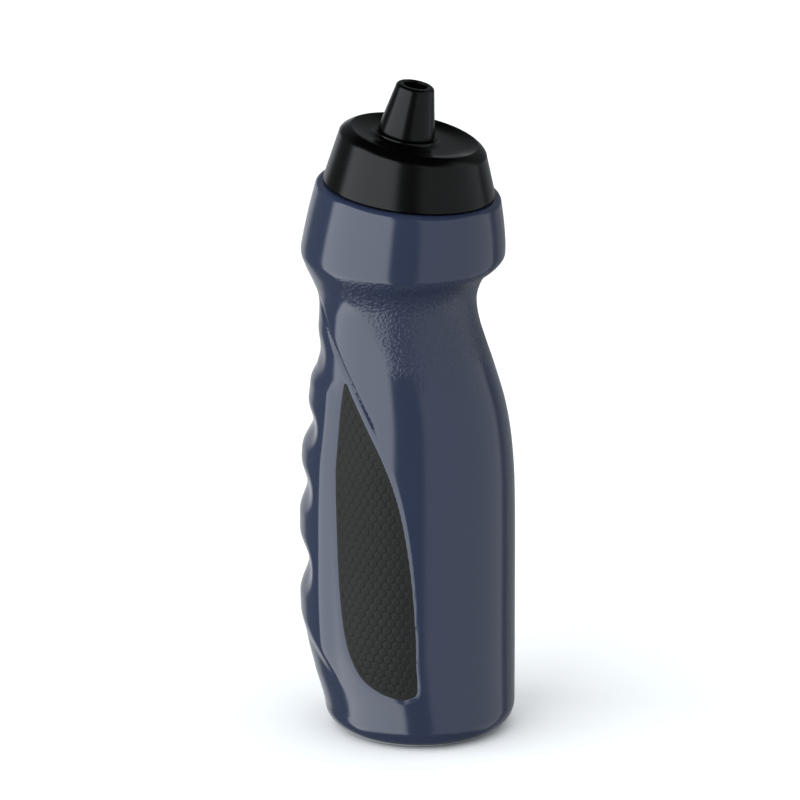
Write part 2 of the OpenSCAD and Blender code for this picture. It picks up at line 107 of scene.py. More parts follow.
class BottleSizes(bpy.types.PropertyGroup):
    """The moulded body, from its base to its neck."""

    depth: length("Depth", 74.6, "Depth of the body's ellipse, before the pads' pockets")
    hold: length("Hold height", 91.6, "Height where the body starts to narrow to the waist")
    waist: length("Waist height", 163.5, "Height of the waist")
    waist_palm: length("Waist, palm side", 25.1, "Distance from the axis to the palm side at the waist")
    waist_finger: length("Waist, finger side", 32, "Distance from the axis to the finger side at the waist")
    wall: length("Wall", 1.2, "Thickness of the blown wall")
    foot_round: length("Foot rounding", 9.4, "Radius of the rounded bottom edge")
    foot_ring: length("Standing ring", 4.2, "Width of the standing ring")
    punt: length("Punt", 3.7, "How far the middle of the base is pushed up")
    base_finger: length("Base, finger side", 29.5, "Distance from the axis to the finger side at the base")
    crease: length("Collar edge", 181.9, "Height of the collar's lower edge")
    collar_palm: length("Collar, palm side", 35.5, "Distance from the axis to the collar's palm side")
    collar_finger: length("Collar, finger side", 38.6, "Distance from the axis to the collar's finger side")
    deck_r: length("Deck radius", 33.9, "Outer radius of the deck under the cap")
    deck_round: length("Deck rounding", 2.1, "Radius of the deck's rounded edge")
    neck_bore: length("Neck bore", 20.2, "Bore radius of the neck")
    neck_wall: length("Neck wall", 1.9, "Wall of the neck")
    neck_h: length("Neck height", 11.7, "Height of the neck above the deck")
    pitch: length("Thread pitch", 4.2, "Rise of the thread in one turn")
    thread_h: length("Thread depth", 1.6, "How far the thread stands out")
    thread_w: length("Thread width", 1.7, "Width of the thread at its foot")
    thread_start: length("Thread start", 2.4, "Height of the thread's start above the deck")
    thread_turns: number("Thread turns", 1.3, "Turns of thread on the neck and in the cap")
    finger_rise: length("Finger zone", 1.4, "How far the finger zone stands out from the body")
    finger_low: length("Finger zone, low end", 36.2, "Height of the finger zone's lower end")
    finger_high: length("Finger zone, high end", 139, "Height of the finger zone's upper end")
    sweep_depth: length("Sweep line depth", 0.65, "Depth of the line that sweeps down from the waist")
    sweep_width: length("Sweep line width", 1.0, "Half width of that line")
    columns: count("Columns", 288, 60, "Columns of the body's grid")
    rows: count("Rows", 196, 60, "Rows of the body's side")


class PadSizes(bpy.types.PropertyGroup):
    """The two rubber grip pads."""

    thickness: length("Thickness", 1.7, "Thickness of a pad")
    inset: length("Inset", 0.3, "How far a pad lies below the body's surface")
    rounding: length("Edge rounding", 0.5, "Radius of a pad's edge")
    border: length("Border", 1.5, "Width of the smooth border round the hexagons")
    cell: length("Hexagon", 3.3, "Distance between the middles of two hexagons")
    cell_rise: length("Hexagon height", 0.26, "How far the hexagons stand up")
    groove: length("Groove", 0.6, "Width of the sloping edge between two hexagons")
    rows: count("Rows", 520, 60, "Rows of a pad's grid")
    across: count("Columns", 132, 20, "Columns of a pad's face")


class CapSizes(bpy.types.PropertyGroup):
    """The screw cap with its dish and its spout boss."""

    skirt_r: length("Skirt radius", 31.2, "Radius of the skirt at its lower edge")
    wall: length("Wall", 1.8, "Wall of the skirt and of the top")
    gap: length("Gap", 0.4, "Gap between the cap and the deck")
    rim_rise: length("Rim height", 20.1, "Height of the rim's centre above the deck")
    rim_flat: length("Rim flat", 0.6, "Width of the flat rim round the dish")
    dish_r: length("Dish radius", 22.8, "Radius of the dish's edge")
    dish_depth: length("Dish depth", 1.7, "Depth of the dish")
    dish_slope: length("Dish slope", 7.5, "Width of the dish's sloping edge")
    shoulder_r: length("Shoulder radius", 27.2, "Radius where the skirt meets the rounded rim")
    shoulder_drop: length("Shoulder drop", 3.4, "Drop from the dish's edge to the shoulder")
    sleeve_wall: length("Sleeve wall", 1.7, "Wall of the threaded sleeve")
    thread_gap: length("Thread gap", 0.4, "Clearance between the thread and the wall that it faces")
    seal_t: length("Seal thickness", 1.6, "Thickness of the seal")
    seal_w: length("Seal width", 4.2, "Radial width of the seal")
    seal_gap: length("Seal gap", 0.06, "Gap on each face of the seal")
    hollow_top: length("Hollow height", 7.6, "Height of the hollow between sleeve and skirt")
    pedestal_h: length("Pedestal height", 1.5, "Height of the pedestal under the nozzle")
    flare: length("Pedestal flare", 3.2, "Width of the pedestal's flare")
    boss_r: length("Boss radius", 6, "Outer radius of the spout boss")
    boss_wall: length("Boss wall", 1.8, "Wall of the spout boss")
    boss_h: length("Boss height", 13.5, "Height of the spout boss")
    bead: length("Bead", 0.35, "How far the bead stands out from the boss")
    ring_cord: length("Ring cord", 0.7, "Radius of the O-ring's cord")
    columns: count("Columns", 256, 48, "Columns of the cap's grid")


class NozzleSizes(bpy.types.PropertyGroup):
    """The push-pull nozzle, its O-ring and the valve post."""

    offset: length("Offset", 3.1, "Place of the nozzle from the dish's centre, towards the finger side")
    foot_gap: length("Foot gap", 0.3, "Gap under the closed nozzle")
    foot_r: length("Foot radius", 10.4, "Radius of the nozzle's foot")
    tip_r: length("Tip radius", 7.1, "Radius of the nozzle's tip")
    height: length("Height", 18.6, "Height of the nozzle")
    lip_round: length("Lip rounding", 1.4, "Radius of the nozzle's lip")
    hole_r: length("Hole radius", 4.4, "Radius of the drinking hole")
    orifice_r: length("Orifice radius", 2.8, "Radius of the orifice that the plug closes")
    plug_h: length("Orifice length", 1.8, "Length of the orifice")
    bore_gap: length("Bore gap", 0.35, "Radial clearance of the bore over the bead")
    guide_gap: length("Guide gap", 0.08, "Clearance of the guide ring round the boss")
    columns: count("Columns", 160, 48, "Columns of the nozzle's grid")


class Finishes(bpy.types.PropertyGroup):
    """Colours and gloss, in linear light."""

    navy: colour("Body", (0.019, 0.0262, 0.053), "Navy plastic of the body")
    navy_rough: number("Body roughness", 0.13, "Roughness of the body's plastic")
    grain: length("Grain depth", 0.11, "Depth of the leather grain round the waist")
    cap_black: colour("Cap", (0.0008, 0.0008, 0.0008), "Black plastic of the cap and the nozzle")
    cap_rough: number("Cap roughness", 0.22, "Roughness of the cap's plastic")
    cap_specular: number("Cap reflection", 0.2, "Strength of the cap's reflection")
    rubber: colour("Pads", (0.0125, 0.013, 0.012), "Rubber of the grip pads")
    rubber_rough: number("Pad roughness", 0.62, "Roughness of the rubber")
    silicone: colour("Seal", (0.42, 0.44, 0.46), "Silicone of the seal")


class Studio(bpy.types.PropertyGroup):
    """The camera and the light."""

    elevation: number("Camera elevation", 19.5, "Camera's height above the horizon, in degrees")
    distance: FloatProperty(name="Camera distance", description="Distance from the camera to the bottle",
                            default=3.727, subtype="DISTANCE", unit="LENGTH")
    aim: length("Aim height", 121.4, "Height on the axis that the camera is set up on")
    field: length("Frame width", 290.8, "Width of the picture at the bottle")
    right: number("Frame shift, right", -0.009375, "Sideways shift of the frame, as a share of its width")
    up: number("Frame shift, up", 0.011625, "Upward shift of the frame, as a share of its width")
    key: number("Key softbox", 3.0, "Brightness of the big softbox on the left")
    fill: number("Fill softbox", 0.68, "Brightness of the wide softbox on the right")
    rim: number("Rim strip", 0.15, "Brightness of the strip behind the palm side")
    back: number("Back strip", 0.55, "Brightness of the strip behind the finger side")
    room: number("Room", 0.18, "Brightness of the studio's walls")
    top: number("Top light", 1.4, "Brightness from above, which no surface mirrors")


def sizes():
    """The scene's property groups, by name."""
    scene = bpy.context.scene
    return scene.bottle, scene.pads, scene.cap, scene.nozzle, scene.finishes


# ---------------------------------------------------------------- curves and surfaces

def ease(t):
    """A smooth step from 0 to 1: 3t^2 - 2t^3."""
    t = np.clip(t, 0.0, 1.0)
    return t * t * (3 - 2 * t)


def mix(a, b, t):
    """The value a share t of the way from a to b."""
    return a + (b - a) * t


def curve(knots, at):
    """A smooth curve through (place, value) knots: cubic pieces, with the slope between the neighbours."""
    x, y = np.array(knots, float).T
    low = np.maximum(np.arange(len(x)) - 1, 0)
    high = np.minimum(np.arange(len(x)) + 1, len(x) - 1)
    slope = (y[high] - y[low]) / (x[high] - x[low])
    at = np.asarray(at, float)
    i = np.clip(np.searchsorted(x, at, side="right") - 1, 0, len(x) - 2)
    h = x[i + 1] - x[i]
    t = np.clip((at - x[i]) / h, 0, 1)
    return ((1 + 2 * t) * (1 - t) ** 2 * y[i] + t * (1 - t) ** 2 * h * slope[i]
            + t * t * (3 - 2 * t) * y[i + 1] - t * t * (1 - t) * h * slope[i + 1])


def arc(centre, radius, start, end, count):
    """Points [r, h] of an arc about centre, from angle start to end in degrees."""
    a = np.radians(np.linspace(start, end, count))
    return np.column_stack([centre[0] + radius * np.cos(a), centre[1] + radius * np.sin(a)])


def line(a, b, count):
    """count points [r, h] from a to b."""
    t = np.linspace(0, 1, count)[:, None]
    return np.array(a, float) * (1 - t) + np.array(b, float) * t


def on_axis(origin, lean, profile, turn, rise=None):
    """Rings about an axis that leans towards +X: point = origin + h * axis + r * (cos turn, sin turn).
    profile holds [r, h] rows, and rise, if given, is added to r as a (row, column) array."""
    r = profile[:, :1] + (0 if rise is None else rise)
    r = np.broadcast_to(r, (len(profile), len(turn)))
    h = profile[:, 1:2]
    c, s = math.cos(lean), math.sin(lean)
    x = origin[0] + h * s + r * np.cos(turn) * c
    y = origin[1] + r * np.sin(turn)
    z = origin[2] + h * c - r * np.cos(turn) * s
    return np.stack(np.broadcast_arrays(x, y, z), axis=-1)


THREAD_FADE = 0.09        # turns over which each end of a thread fades
THREAD_FOOT, THREAD_FLANK = 0.56, 0.34   # half width of its foot and width of its flank, over its own width


def thread_rise(h, turn, start, pitch, turns, width, depth):
    """Height of a helical ridge over its wall: a rounded trapezoid about the line
    h = start + pitch * turn / 2pi, which fades out at both of its ends."""
    rise = np.zeros((len(h), len(turn)))
    for lap in range(int(turns) + 1):
        along = turn[None, :] / TURN + lap
        off = np.abs(h[:, None] - start - pitch * along)
        fade = ease(np.minimum(along, turns - along) / THREAD_FADE)
        rise = np.maximum(rise, fade * ease((THREAD_FOOT * width - off) / (THREAD_FLANK * width)))
    return depth * rise


def quads(rows, columns, loop):
    """Corner numbers of a grid's faces. Columns close on themselves, and rows do where loop is true."""
    i = np.arange(rows if loop else rows - 1)[:, None]
    j = np.arange(columns)[None, :]
    k, m = (i + 1) % rows, (j + 1) % columns
    corners = [i * columns + j, i * columns + m, k * columns + m, k * columns + j]
    return np.stack(corners, axis=-1).reshape(-1, 4)


def make_piece(name, points, body, material, node=None, loop=False, ends=None, sharp=38):
    """A closed mesh from a (row, column, 3) grid. ends gives the middle points that close the first and the
    last row. The piece rides on a body, and may replace a CAD node."""
    rows, columns = points.shape[:2]
    verts = points.reshape(-1, 3)
    faces = [quads(rows, columns, loop)]
    sides = [np.full(len(faces[0]), 4)]
    if ends is not None:
        first, last = len(verts), len(verts) + 1
        verts = np.vstack([verts, ends])
        j = np.arange(columns)
        top = (rows - 1) * columns
        faces += [np.column_stack([np.full(columns, first), (j + 1) % columns, j]),
                  np.column_stack([np.full(columns, last), top + j, top + (j + 1) % columns])]
        sides += [np.full(columns, 3), np.full(columns, 3)]
    corners = np.concatenate([f.ravel() for f in faces])
    sides = np.concatenate(sides)
    mesh = bpy.data.meshes.new(name)
    mesh.vertices.add(len(verts))
    mesh.vertices.foreach_set("co", verts.astype(np.float32).ravel())
    mesh.loops.add(len(corners))
    mesh.loops.foreach_set("vertex_index", corners.astype(np.int32))
    mesh.polygons.add(len(sides))
    starts = np.concatenate([[0], np.cumsum(sides)[:-1]])
    mesh.polygons.foreach_set("loop_start", starts.astype(np.int32))
    mesh.polygons.foreach_set("use_smooth", np.ones(len(sides), bool))
    mesh.update(calc_edges=True)
    mesh.validate()
    mesh.set_sharp_from_angle(angle=math.radians(sharp))
    piece = bpy.data.objects.new(name, mesh)
    bpy.context.scene.collection.objects.link(piece)
    mesh.materials.append(material)
    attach(piece, body)
    if node:
        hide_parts(node)
    return piece


# ---------------------------------------------------------------- the body's form

# Knots between two heights of a side curve: (share of the height, share of the distance from the axis)
PALM_NARROWS = [(0.25, 0.91), (0.45, 0.75), (0.64, 0.48), (0.78, 0.25), (0.9, 0.07)]
PALM_WIDENS = [(0.25, 0.05), (0.5, 0.22), (0.65, 0.42), (0.8, 0.76), (0.93, 0.95)]
FINGER_NARROWS = [(0.18, 0.88), (0.36, 0.62), (0.54, 0.36), (0.72, 0.17), (0.86, 0.06)]
FINGER_WIDENS = [(0.25, 0.13), (0.5, 0.41), (0.75, 0.73)]
COLLAR_EDGE = 2.4 * MM    # height of the collar's rounded lower edge
COLLAR_BULGE = 0.9 * MM   # how far the collar's side curves out


def within(knots, low, high):
    """Knots given as shares of the way across a box, from its corner low to its corner high."""
    return [(mix(low[0], high[0], t), mix(low[1], high[1], v)) for t, v in knots]


def outline_curves(s):
    """Knots (height, distance from the axis) of the palm side and of the finger side."""
    palm, finger = BODY_HIGH.x, -BODY_LOW.x
    full = finger - s.finger_rise
    widest = s.crease + COLLAR_EDGE
    tuck = 0.1 * MM
    palm_line = [(0, palm), (s.hold * 0.5, palm), (s.hold, palm - 0.2 * MM)]
    palm_line += within(PALM_NARROWS, (s.hold, s.waist_palm), (s.waist, palm))
    palm_line += [(s.waist, s.waist_palm)]
    palm_line += within(PALM_WIDENS, (s.waist, s.waist_palm), (s.crease, s.collar_palm))
    palm_line += [(s.crease, s.collar_palm - tuck), (widest, s.collar_palm)]
    finger_line = [(0, s.base_finger), (s.foot_round, s.base_finger + 0.8 * MM),
                   (s.foot_round + 15 * MM, s.base_finger + 4.8 * MM),
                   (s.foot_round + 30 * MM, full - 0.6 * MM), (mix(s.foot_round, s.hold, 0.85), full)]
    finger_line += within(FINGER_NARROWS, (s.hold, s.waist_finger), (s.waist, full))
    finger_line += [(s.waist, s.waist_finger)]
    finger_line += within(FINGER_WIDENS, (s.waist, s.waist_finger), (s.crease, s.collar_finger))
    finger_line += [(s.crease, s.collar_finger - tuck), (widest, s.collar_finger)]
    return palm_line, finger_line


class Form:
    """The body's outline: an ellipse at each height, whose ends follow the two side curves."""

    def __init__(self, s):
        self.palm, self.finger = outline_curves(s)
        self.depth = s.depth / (BODY_HIGH.x - BODY_LOW.x)

    def middle(self, z):
        """X of the ellipse's centre at a height."""
        return (curve(self.palm, z) - curve(self.finger, z)) / 2

    def half(self, z):
        """Half the ellipse's width at a height."""
        return (curve(self.palm, z) + curve(self.finger, z)) / 2

    def wall(self, z, turn, out):
        """Point at a height and an angle, moved outwards along the ellipse's normal by out."""
        a = self.half(z)
        b = a * self.depth
        c, s = np.cos(turn), np.sin(turn)
        n = np.hypot(c / a, s / b)
        parts = np.broadcast_arrays(self.middle(z) + a * c + out * c / a / n, b * s + out * s / b / n, z)
        return np.stack(parts, axis=-1)


def off_finger(turn):
    """Angle in degrees from the finger side, which is at half a turn."""
    return np.abs(np.degrees(turn) - 180)


# Finger grooves: (height, depth, half height) in mm
GROOVES = [(64.2, 3.4, 12.8), (93.7, 2.6, 10.7), (117.2, 2.8, 9.6), (144.8, 1.3, 9.6)]
GROOVE_HALF = 30          # degrees from the finger side to a groove's end
# The finger zone's lower end falls away round the side: (angle from the finger side, drop in mm)
ZONE_END = [(0, 0), (12, -1), (23, -4), (34, -10), (44, -17), (56, -22)]
ZONE_HALF, ZONE_EDGE = 33, 13                  # degrees to the zone's side edge, and across that edge
ZONE_FADE_LOW, ZONE_FADE_HIGH = 10 * MM, 6 * MM  # heights over which its two ends rise


def finger_relief(s, z, turn):
    """Height of the finger zone over the body: a raised band with four grooves pressed into it.
    A groove is depth * (1 - ease(sqrt(v^2 + w^4))), where v and w are shares of its half height and width."""
    off = off_finger(turn)
    low = s.finger_low + curve(ZONE_END, off) * MM
    relief = s.finger_rise * (1 - ease((off - ZONE_HALF) / ZONE_EDGE)) * ease((z - low) / ZONE_FADE_LOW) \
        * (1 - ease((z - s.finger_high) / ZONE_FADE_HIGH + 1))
    for middle, depth, half in GROOVES:
        v = (z / MM - middle) / half
        relief = relief - depth * MM * (1 - ease(np.sqrt(v * v + (off / GROOVE_HALF) ** 4)))
    return relief


# The line that sweeps from the finger side down past a pad's tip: (angle from the finger side, height in mm)
SWEEP = [(0, 168.5), (15, 164), (35, 152.8), (55, 138.6), (76, 118.2)]
SWEEP_LEAN = 0.585        # share of a height difference that lies across the line


def sweep_relief(s, z, turn):
    """A narrow line pressed along the sweep, fading out at its lower end. Towards the finger side it grows
    wider and shallower, and it ends just short of the middle."""
    off = off_finger(turn)
    across = np.abs(z - curve([(a, h * MM) for a, h in SWEEP], off)) * SWEEP_LEAN
    near = ease((34 - off) / 24)
    fade = ease((SWEEP[-1][0] - off) / 9) * ease((off - 2) / 8) * (1 - 0.5 * near)
    return -s.sweep_depth * fade * (1 - ease(across / (s.sweep_width * (1 + near))))


# A pad's outline: (share of its height, middle, half width), the last two in degrees past -Y
PAD_LINE = [(0, 7, 3), (0.018, 9.5, 10.5), (0.054, 13.5, 16.1), (0.12, 16, 19.3), (0.21, 17.8, 21.4),
            (0.39, 20.5, 22.1), (0.58, 23.8, 20.5), (0.7, 27.4, 18.3), (0.78, 30.9, 15.4), (0.84, 34.1, 12.4),
            (0.92, 38.5, 7.5), (1, 42.6, 1.0)]
PAD_ROUND_LOW, PAD_ROUND_HIGH = 0.012, 0.006   # shares of the height over which a pad's two ends round off


def pad_edges(z):
    """A pad's middle and half width at heights z, as angles in degrees past -Y. Each end rounds off to
    nothing as a quarter circle does."""
    share = np.clip((z - PAD_LOW.z) / (PAD_HIGH.z - PAD_LOW.z), 0, 1)
    middle = curve([(p[0], p[1]) for p in PAD_LINE], share)
    half = curve([(p[0], p[2]) for p in PAD_LINE], share)
    end = np.minimum(share / PAD_ROUND_LOW, (1 - share) / PAD_ROUND_HIGH)
    return middle, half * np.sqrt(1 - (1 - np.clip(end, 0, 1)) ** 2)


def pad_distance(form, z, turn):
    """Distance inwards from a pad's outline, negative outside it, on the developed wall: the least distance
    to the outline's straight pieces. turn is in degrees from the pad's own side towards the finger side."""
    heights = PAD_LOW.z + (PAD_HIGH.z - PAD_LOW.z) * (1 - np.cos(np.linspace(0, np.pi, 90))) / 2
    middle, half = pad_edges(heights)
    reach = np.radians(1) * form.half(heights)
    outline = np.concatenate([np.column_stack([reach * (middle + half), heights]),
                              np.column_stack([reach * (middle - half), heights])[::-1]])
    here = np.stack(np.broadcast_arrays(np.radians(1) * form.half(z) * turn, z), axis=-1)
    nearest = np.full(here.shape[:-1], np.inf)
    for a, b in zip(outline, np.roll(outline, -1, axis=0)):
        ab = b - a
        t = np.clip(((here - a) @ ab) / max(ab @ ab, 1e-12), 0, 1)
        nearest = np.minimum(nearest, np.hypot(*np.moveaxis(here - a - t[..., None] * ab, -1, 0)))
    middle, half = pad_edges(z)
    inside = (np.abs(turn - middle) < half) & (z > PAD_LOW.z) & (z < PAD_HIGH.z)
    return np.where(inside, nearest, -nearest)


def pocket_relief(form, pads, z, turn):
    """The pocket under each pad: the wall dips softly to the pad's face, then drops to its underside."""
    past = 90 - off_finger(turn)
    depth = np.zeros(np.broadcast(z, turn).shape)
    margin = 3 * MM
    near = (z > PAD_LOW.z - margin) & (z < PAD_HIGH.z + margin) & (past > -25) & (past < 62)
    rows = np.any(near, axis=1)
    columns = np.any(near, axis=0)
    d = pad_distance(form, z[rows], past[:, columns])
    slope, before, under = 1.8 * MM, 1.6 * MM, 0.15 * MM
    depth[np.ix_(rows, columns)] = pads.inset * ease((d + before) / slope) \
        + pads.thickness * ease((d - under) / slope)
    return -depth


def spaced(fine, density, shares):
    """Places at shares of a density's running sum over fine, so that they lie closer where it is higher."""
    total = np.concatenate([[0], np.cumsum((density[1:] + density[:-1]) / 2)])
    return np.interp(shares * total[-1], total, fine)


def body_turns(count):
    """Column angles of the body's grid: close together over the finger zone and the pads, wider on the palm
    side and at the very middle of the finger side."""
    fine = np.linspace(0, TURN, 4001)
    off = off_finger(fine)
    density = 1 + 1.5 * ease((112 - off) / 16) - 0.9 * ease((16 - off) / 8)
    return spaced(fine, density, np.arange(count) / count)


def side_heights(s, count):
    """Heights of the side's rows, close together at the pads' two ends."""
    fine = np.linspace(s.foot_round, s.crease - 1.2 * MM, 3001)
    density = 1 + 1.9 * ease(1.6 - np.abs(fine - PAD_LOW.z - 2 * MM) / (4 * MM)) \
        + 0.8 * ease(1.6 - np.abs(fine - PAD_HIGH.z + 7 * MM) / (14 * MM))
    return spaced(fine, density, np.linspace(0, 1, count + 1)[1:])


def foot_rings(form, turn, angles, radius, out, lift):
    """Rings of the rounded bottom edge: a quarter circle at angles from straight down, moved outwards by out
    and up by lift."""
    z = radius + lift
    rings = form.wall(z, turn[None, :], out - radius + radius * np.sin(angles)[:, None])
    rings[..., 2] = (z - radius * np.cos(angles))[:, None]
    return rings


def base_rings(s, form, turn):
    """Rings of the base from near its middle out to the standing ring. The punt eases down to the ring."""
    ring = form.wall(s.foot_round, turn, -s.foot_round - s.foot_ring)
    middle = np.array([form.middle(0.0), 0, 0])
    share = np.linspace(0.06, 1, 10)[:, None]
    rings = middle + (ring - middle)[None] * share[..., None]
    rings[..., 2] = s.punt * (1 - ease((share - 0.3) / 0.7))
    return rings


def side_rings(s, pads, form, turn):
    """Rings of the side with the finger zone, the sweep line and the pads' pockets."""
    z = side_heights(s, s.rows)[:, None]
    out = finger_relief(s, z, turn) + sweep_relief(s, z, turn) + pocket_relief(form, pads, z, turn[None, :])
    return form.wall(z, turn[None, :], out)


def collar_rings(s, form, share, turn, out):
    """Rings of the collar's side, from its widest level at share 0 to the deck's rounded edge at share 1.
    They go over from level ellipses to circles that lean as the neck does."""
    widest = s.crease + COLLAR_EDGE
    t = share[:, None]
    a = mix(form.half(widest), s.deck_r, t) + COLLAR_BULGE * t * (1 - t) + out
    ratio = mix(form.depth, 1, t)
    lean = NECK_LEAN * t
    x = mix(form.middle(widest), DECK[0] - s.deck_round * math.sin(NECK_LEAN), t)
    z = mix(widest, DECK[2] - s.deck_round * math.cos(NECK_LEAN), t)
    u = a * np.cos(turn)
    return np.stack([x + u * np.cos(lean), ratio * a * np.sin(turn), z - u * np.sin(lean)], axis=-1)


def neck_rings(s, turn):
    """Rings of the deck from its rounded edge in to the neck's root, of the neck with its thread, and of the
    mouth's lip, the bore and the wall's inside under the deck."""
    root, lip = 0.9 * MM, 0.55 * MM
    neck_r = s.neck_bore + s.neck_wall
    a = np.radians(np.linspace(12, 90, 7))
    edge = np.column_stack([s.deck_r + s.deck_round * (np.cos(a) - 1), s.deck_round * (np.sin(a) - 1)])
    flat = line((s.deck_r - s.deck_round - 2 * MM, 0), (neck_r + root + 0.5 * MM, 0), 4)
    deck = np.vstack([edge, flat, arc((neck_r + root, root), root, 270, 180, 5)])
    h = np.linspace(root + 0.2 * MM, s.neck_h - 0.7 * MM, 32)
    rise = thread_rise(h, turn, s.thread_start, s.pitch, s.thread_turns, s.thread_w, s.thread_h)
    threaded = np.column_stack([np.full(len(h), neck_r), h])
    under = -1.6 * s.wall
    mouth = np.vstack([arc((neck_r - lip, s.neck_h - lip), lip, 0, 90, 5),
                       arc((s.neck_bore + lip, s.neck_h - lip), lip, 90, 180, 5),
                       line((s.neck_bore, s.neck_h * 0.5), (s.neck_bore, -s.wall), 3),
                       [[s.neck_bore + 0.6 * MM, under]],
                       [[s.deck_r - s.deck_round - 3 * MM, under]]])
    return [on_axis(DECK, NECK_LEAN, deck, turn), on_axis(DECK, NECK_LEAN, threaded, turn, rise),
            on_axis(DECK, NECK_LEAN, mouth, turn)]


def inside_rings(s, pads, form, turn):
    """Rings of the wall's inside, from the collar down to the floor. It follows the outside at the wall's
    thickness, and is pressed in behind the finger grooves and the pads."""
    z = np.concatenate([np.linspace(s.crease, s.waist, 4), np.linspace(s.waist, s.hold, 14)[1:],
                        np.linspace(s.hold, s.foot_round, 16)[1:]])[:, None]
    past = 90 - off_finger(turn[None, :])
    centre, half = pad_edges(np.clip(z, PAD_LOW.z + 2 * MM, PAD_HIGH.z - 2 * MM))
    behind = 1 - ease((np.abs(past - centre) - half - 4) / 14)
    behind = behind * ease((z - PAD_LOW.z + 14 * MM) / (10 * MM))
    behind = behind * (1 - ease((z - PAD_HIGH.z - 4 * MM) / (10 * MM)))
    out = np.minimum(0, finger_relief(s, z, turn)) - s.wall - (pads.thickness + pads.inset) * behind
    foot = foot_rings(form, turn, np.radians([70, 50, 30, 10]), s.foot_round - s.wall, -s.wall, s.wall)
    middle = np.array([form.middle(0.0), 0, 0])
    share = np.linspace(0.85, 0.1, 6)[:, None]
    floor = middle + (foot[-1] - middle)[None] * share[..., None]
    floor[..., 2] = s.wall + s.punt * ease((1 - share) / 0.6)
    return [collar_rings(s, form, np.array([0.8, 0.4, 0.1]), turn, -s.wall),
            form.wall(z, turn[None, :], out), foot, floor]


def body_points(s, pads):
    """The whole wall as one grid: the base, the side, the collar, the deck and the neck from outside, then
    the mouth's lip and the inside down to the floor. The two ends close on the base's middle."""
    form = Form(s)
    turn = body_turns(s.columns)
    edge = np.linspace(s.crease - 0.8 * MM, s.crease + 2.0 * MM, 7)[:, None]
    parts = [base_rings(s, form, turn),
             foot_rings(form, turn, np.linspace(0, np.pi / 2, 11), s.foot_round, 0, 0),
             side_rings(s, pads, form, turn),
             form.wall(edge, turn[None, :], 0),
             collar_rings(s, form, np.linspace(0, 1, 14), turn, 0)]
    parts += neck_rings(s, turn) + inside_rings(s, pads, form, turn)
    x = float(form.middle(0.0))
    return np.concatenate(parts), [[x, 0, s.punt], [x, 0, s.punt + s.wall]]


# ---------------------------------------------------------------- grip pads

def hexagons(u, v, cell, groove):
    """1 on hexagons and 0 in the narrow grooves between them. A point's own hexagon is the nearer of two
    interleaved rectangular lattices' centres, and its edge distance comes from three directions."""
    rise = math.sqrt(3) * cell
    offsets = []
    for shift in (0.0, 0.5):
        a = (u / cell - shift + 0.5) % 1 - 0.5
        b = (v / rise - shift + 0.5) % 1 - 0.5
        offsets.append((a * cell, b * rise))
    nearer = np.hypot(*offsets[0]) < np.hypot(*offsets[1])
    x = np.where(nearer, offsets[0][0], offsets[1][0])
    y = np.where(nearer, offsets[0][1], offsets[1][1])
    across = [np.abs(x * math.cos(a) + y * math.sin(a)) for a in (0, math.pi / 3, 2 * math.pi / 3)]
    return ease((cell / 2 - np.maximum.reduce(across)) / groove)


def pad_points(s, pads, side):
    """A pad as a tube of closed cross-sections, from its low end to its tip. Across the face each point lies
    below the body's surface by the inset, plus a rounded edge, less the hexagons' height. The underside is
    narrower than the face."""
    form = Form(s)
    t = np.linspace(0, 1, pads.rows)
    share = 0.5 * t + 0.5 * (1 - np.cos(np.pi * t)) / 2
    z = (PAD_LOW.z + (PAD_HIGH.z - PAD_LOW.z) * share)[1:-1, None]
    middle, half = pad_edges(z)
    spread = 0.8 * np.pi / 2
    c = np.sin(np.linspace(-1, 1, pads.across) * spread) / math.sin(spread)
    past = middle + half * c[None, :]
    reach = np.radians(1) * form.half(z)
    d = np.maximum(pad_distance(form, z, past), 0)
    short = np.maximum(pads.rounding - d, 0)
    rounded = pads.rounding - np.sqrt(np.maximum(pads.rounding ** 2 - short ** 2, 0))
    field = ease((d - pads.border) / (0.35 * MM))
    cells = hexagons(reach * past, z + 0 * past, pads.cell, pads.groove)
    crown = pads.inset * 0.6 * ease(d / (7 * MM))
    face = -pads.inset - rounded + crown + field * pads.cell_rise * (cells - 1)
    back = np.linspace(1, -1, 9)[None, :]
    under = -(pads.inset + pads.thickness - 0.1 * MM)
    narrower = np.minimum(1.3 * MM / reach, 0.6 * half)
    past = np.concatenate([past, middle + (half - narrower) * back], axis=1)
    out = np.concatenate([face, np.broadcast_to(under, (len(z), back.shape[1]))], axis=1)
    points = form.wall(z, np.radians(270 - past), out)
    tips = []
    for height in (PAD_LOW.z, PAD_HIGH.z):
        angle = np.radians(270 - float(pad_edges(np.array(height))[0]))
        tips.append(form.wall(np.array(height), np.array(angle), -pads.inset - 0.8 * MM))
    points[..., 1] *= side
    tips = np.array(tips) * [1, side, 1]
    return (points if side > 0 else points[:, ::-1]), tips


# ---------------------------------------------------------------- cap, seal and nozzle

CHAMFER = 0.2 * MM        # small broken edges on the cap and the nozzle


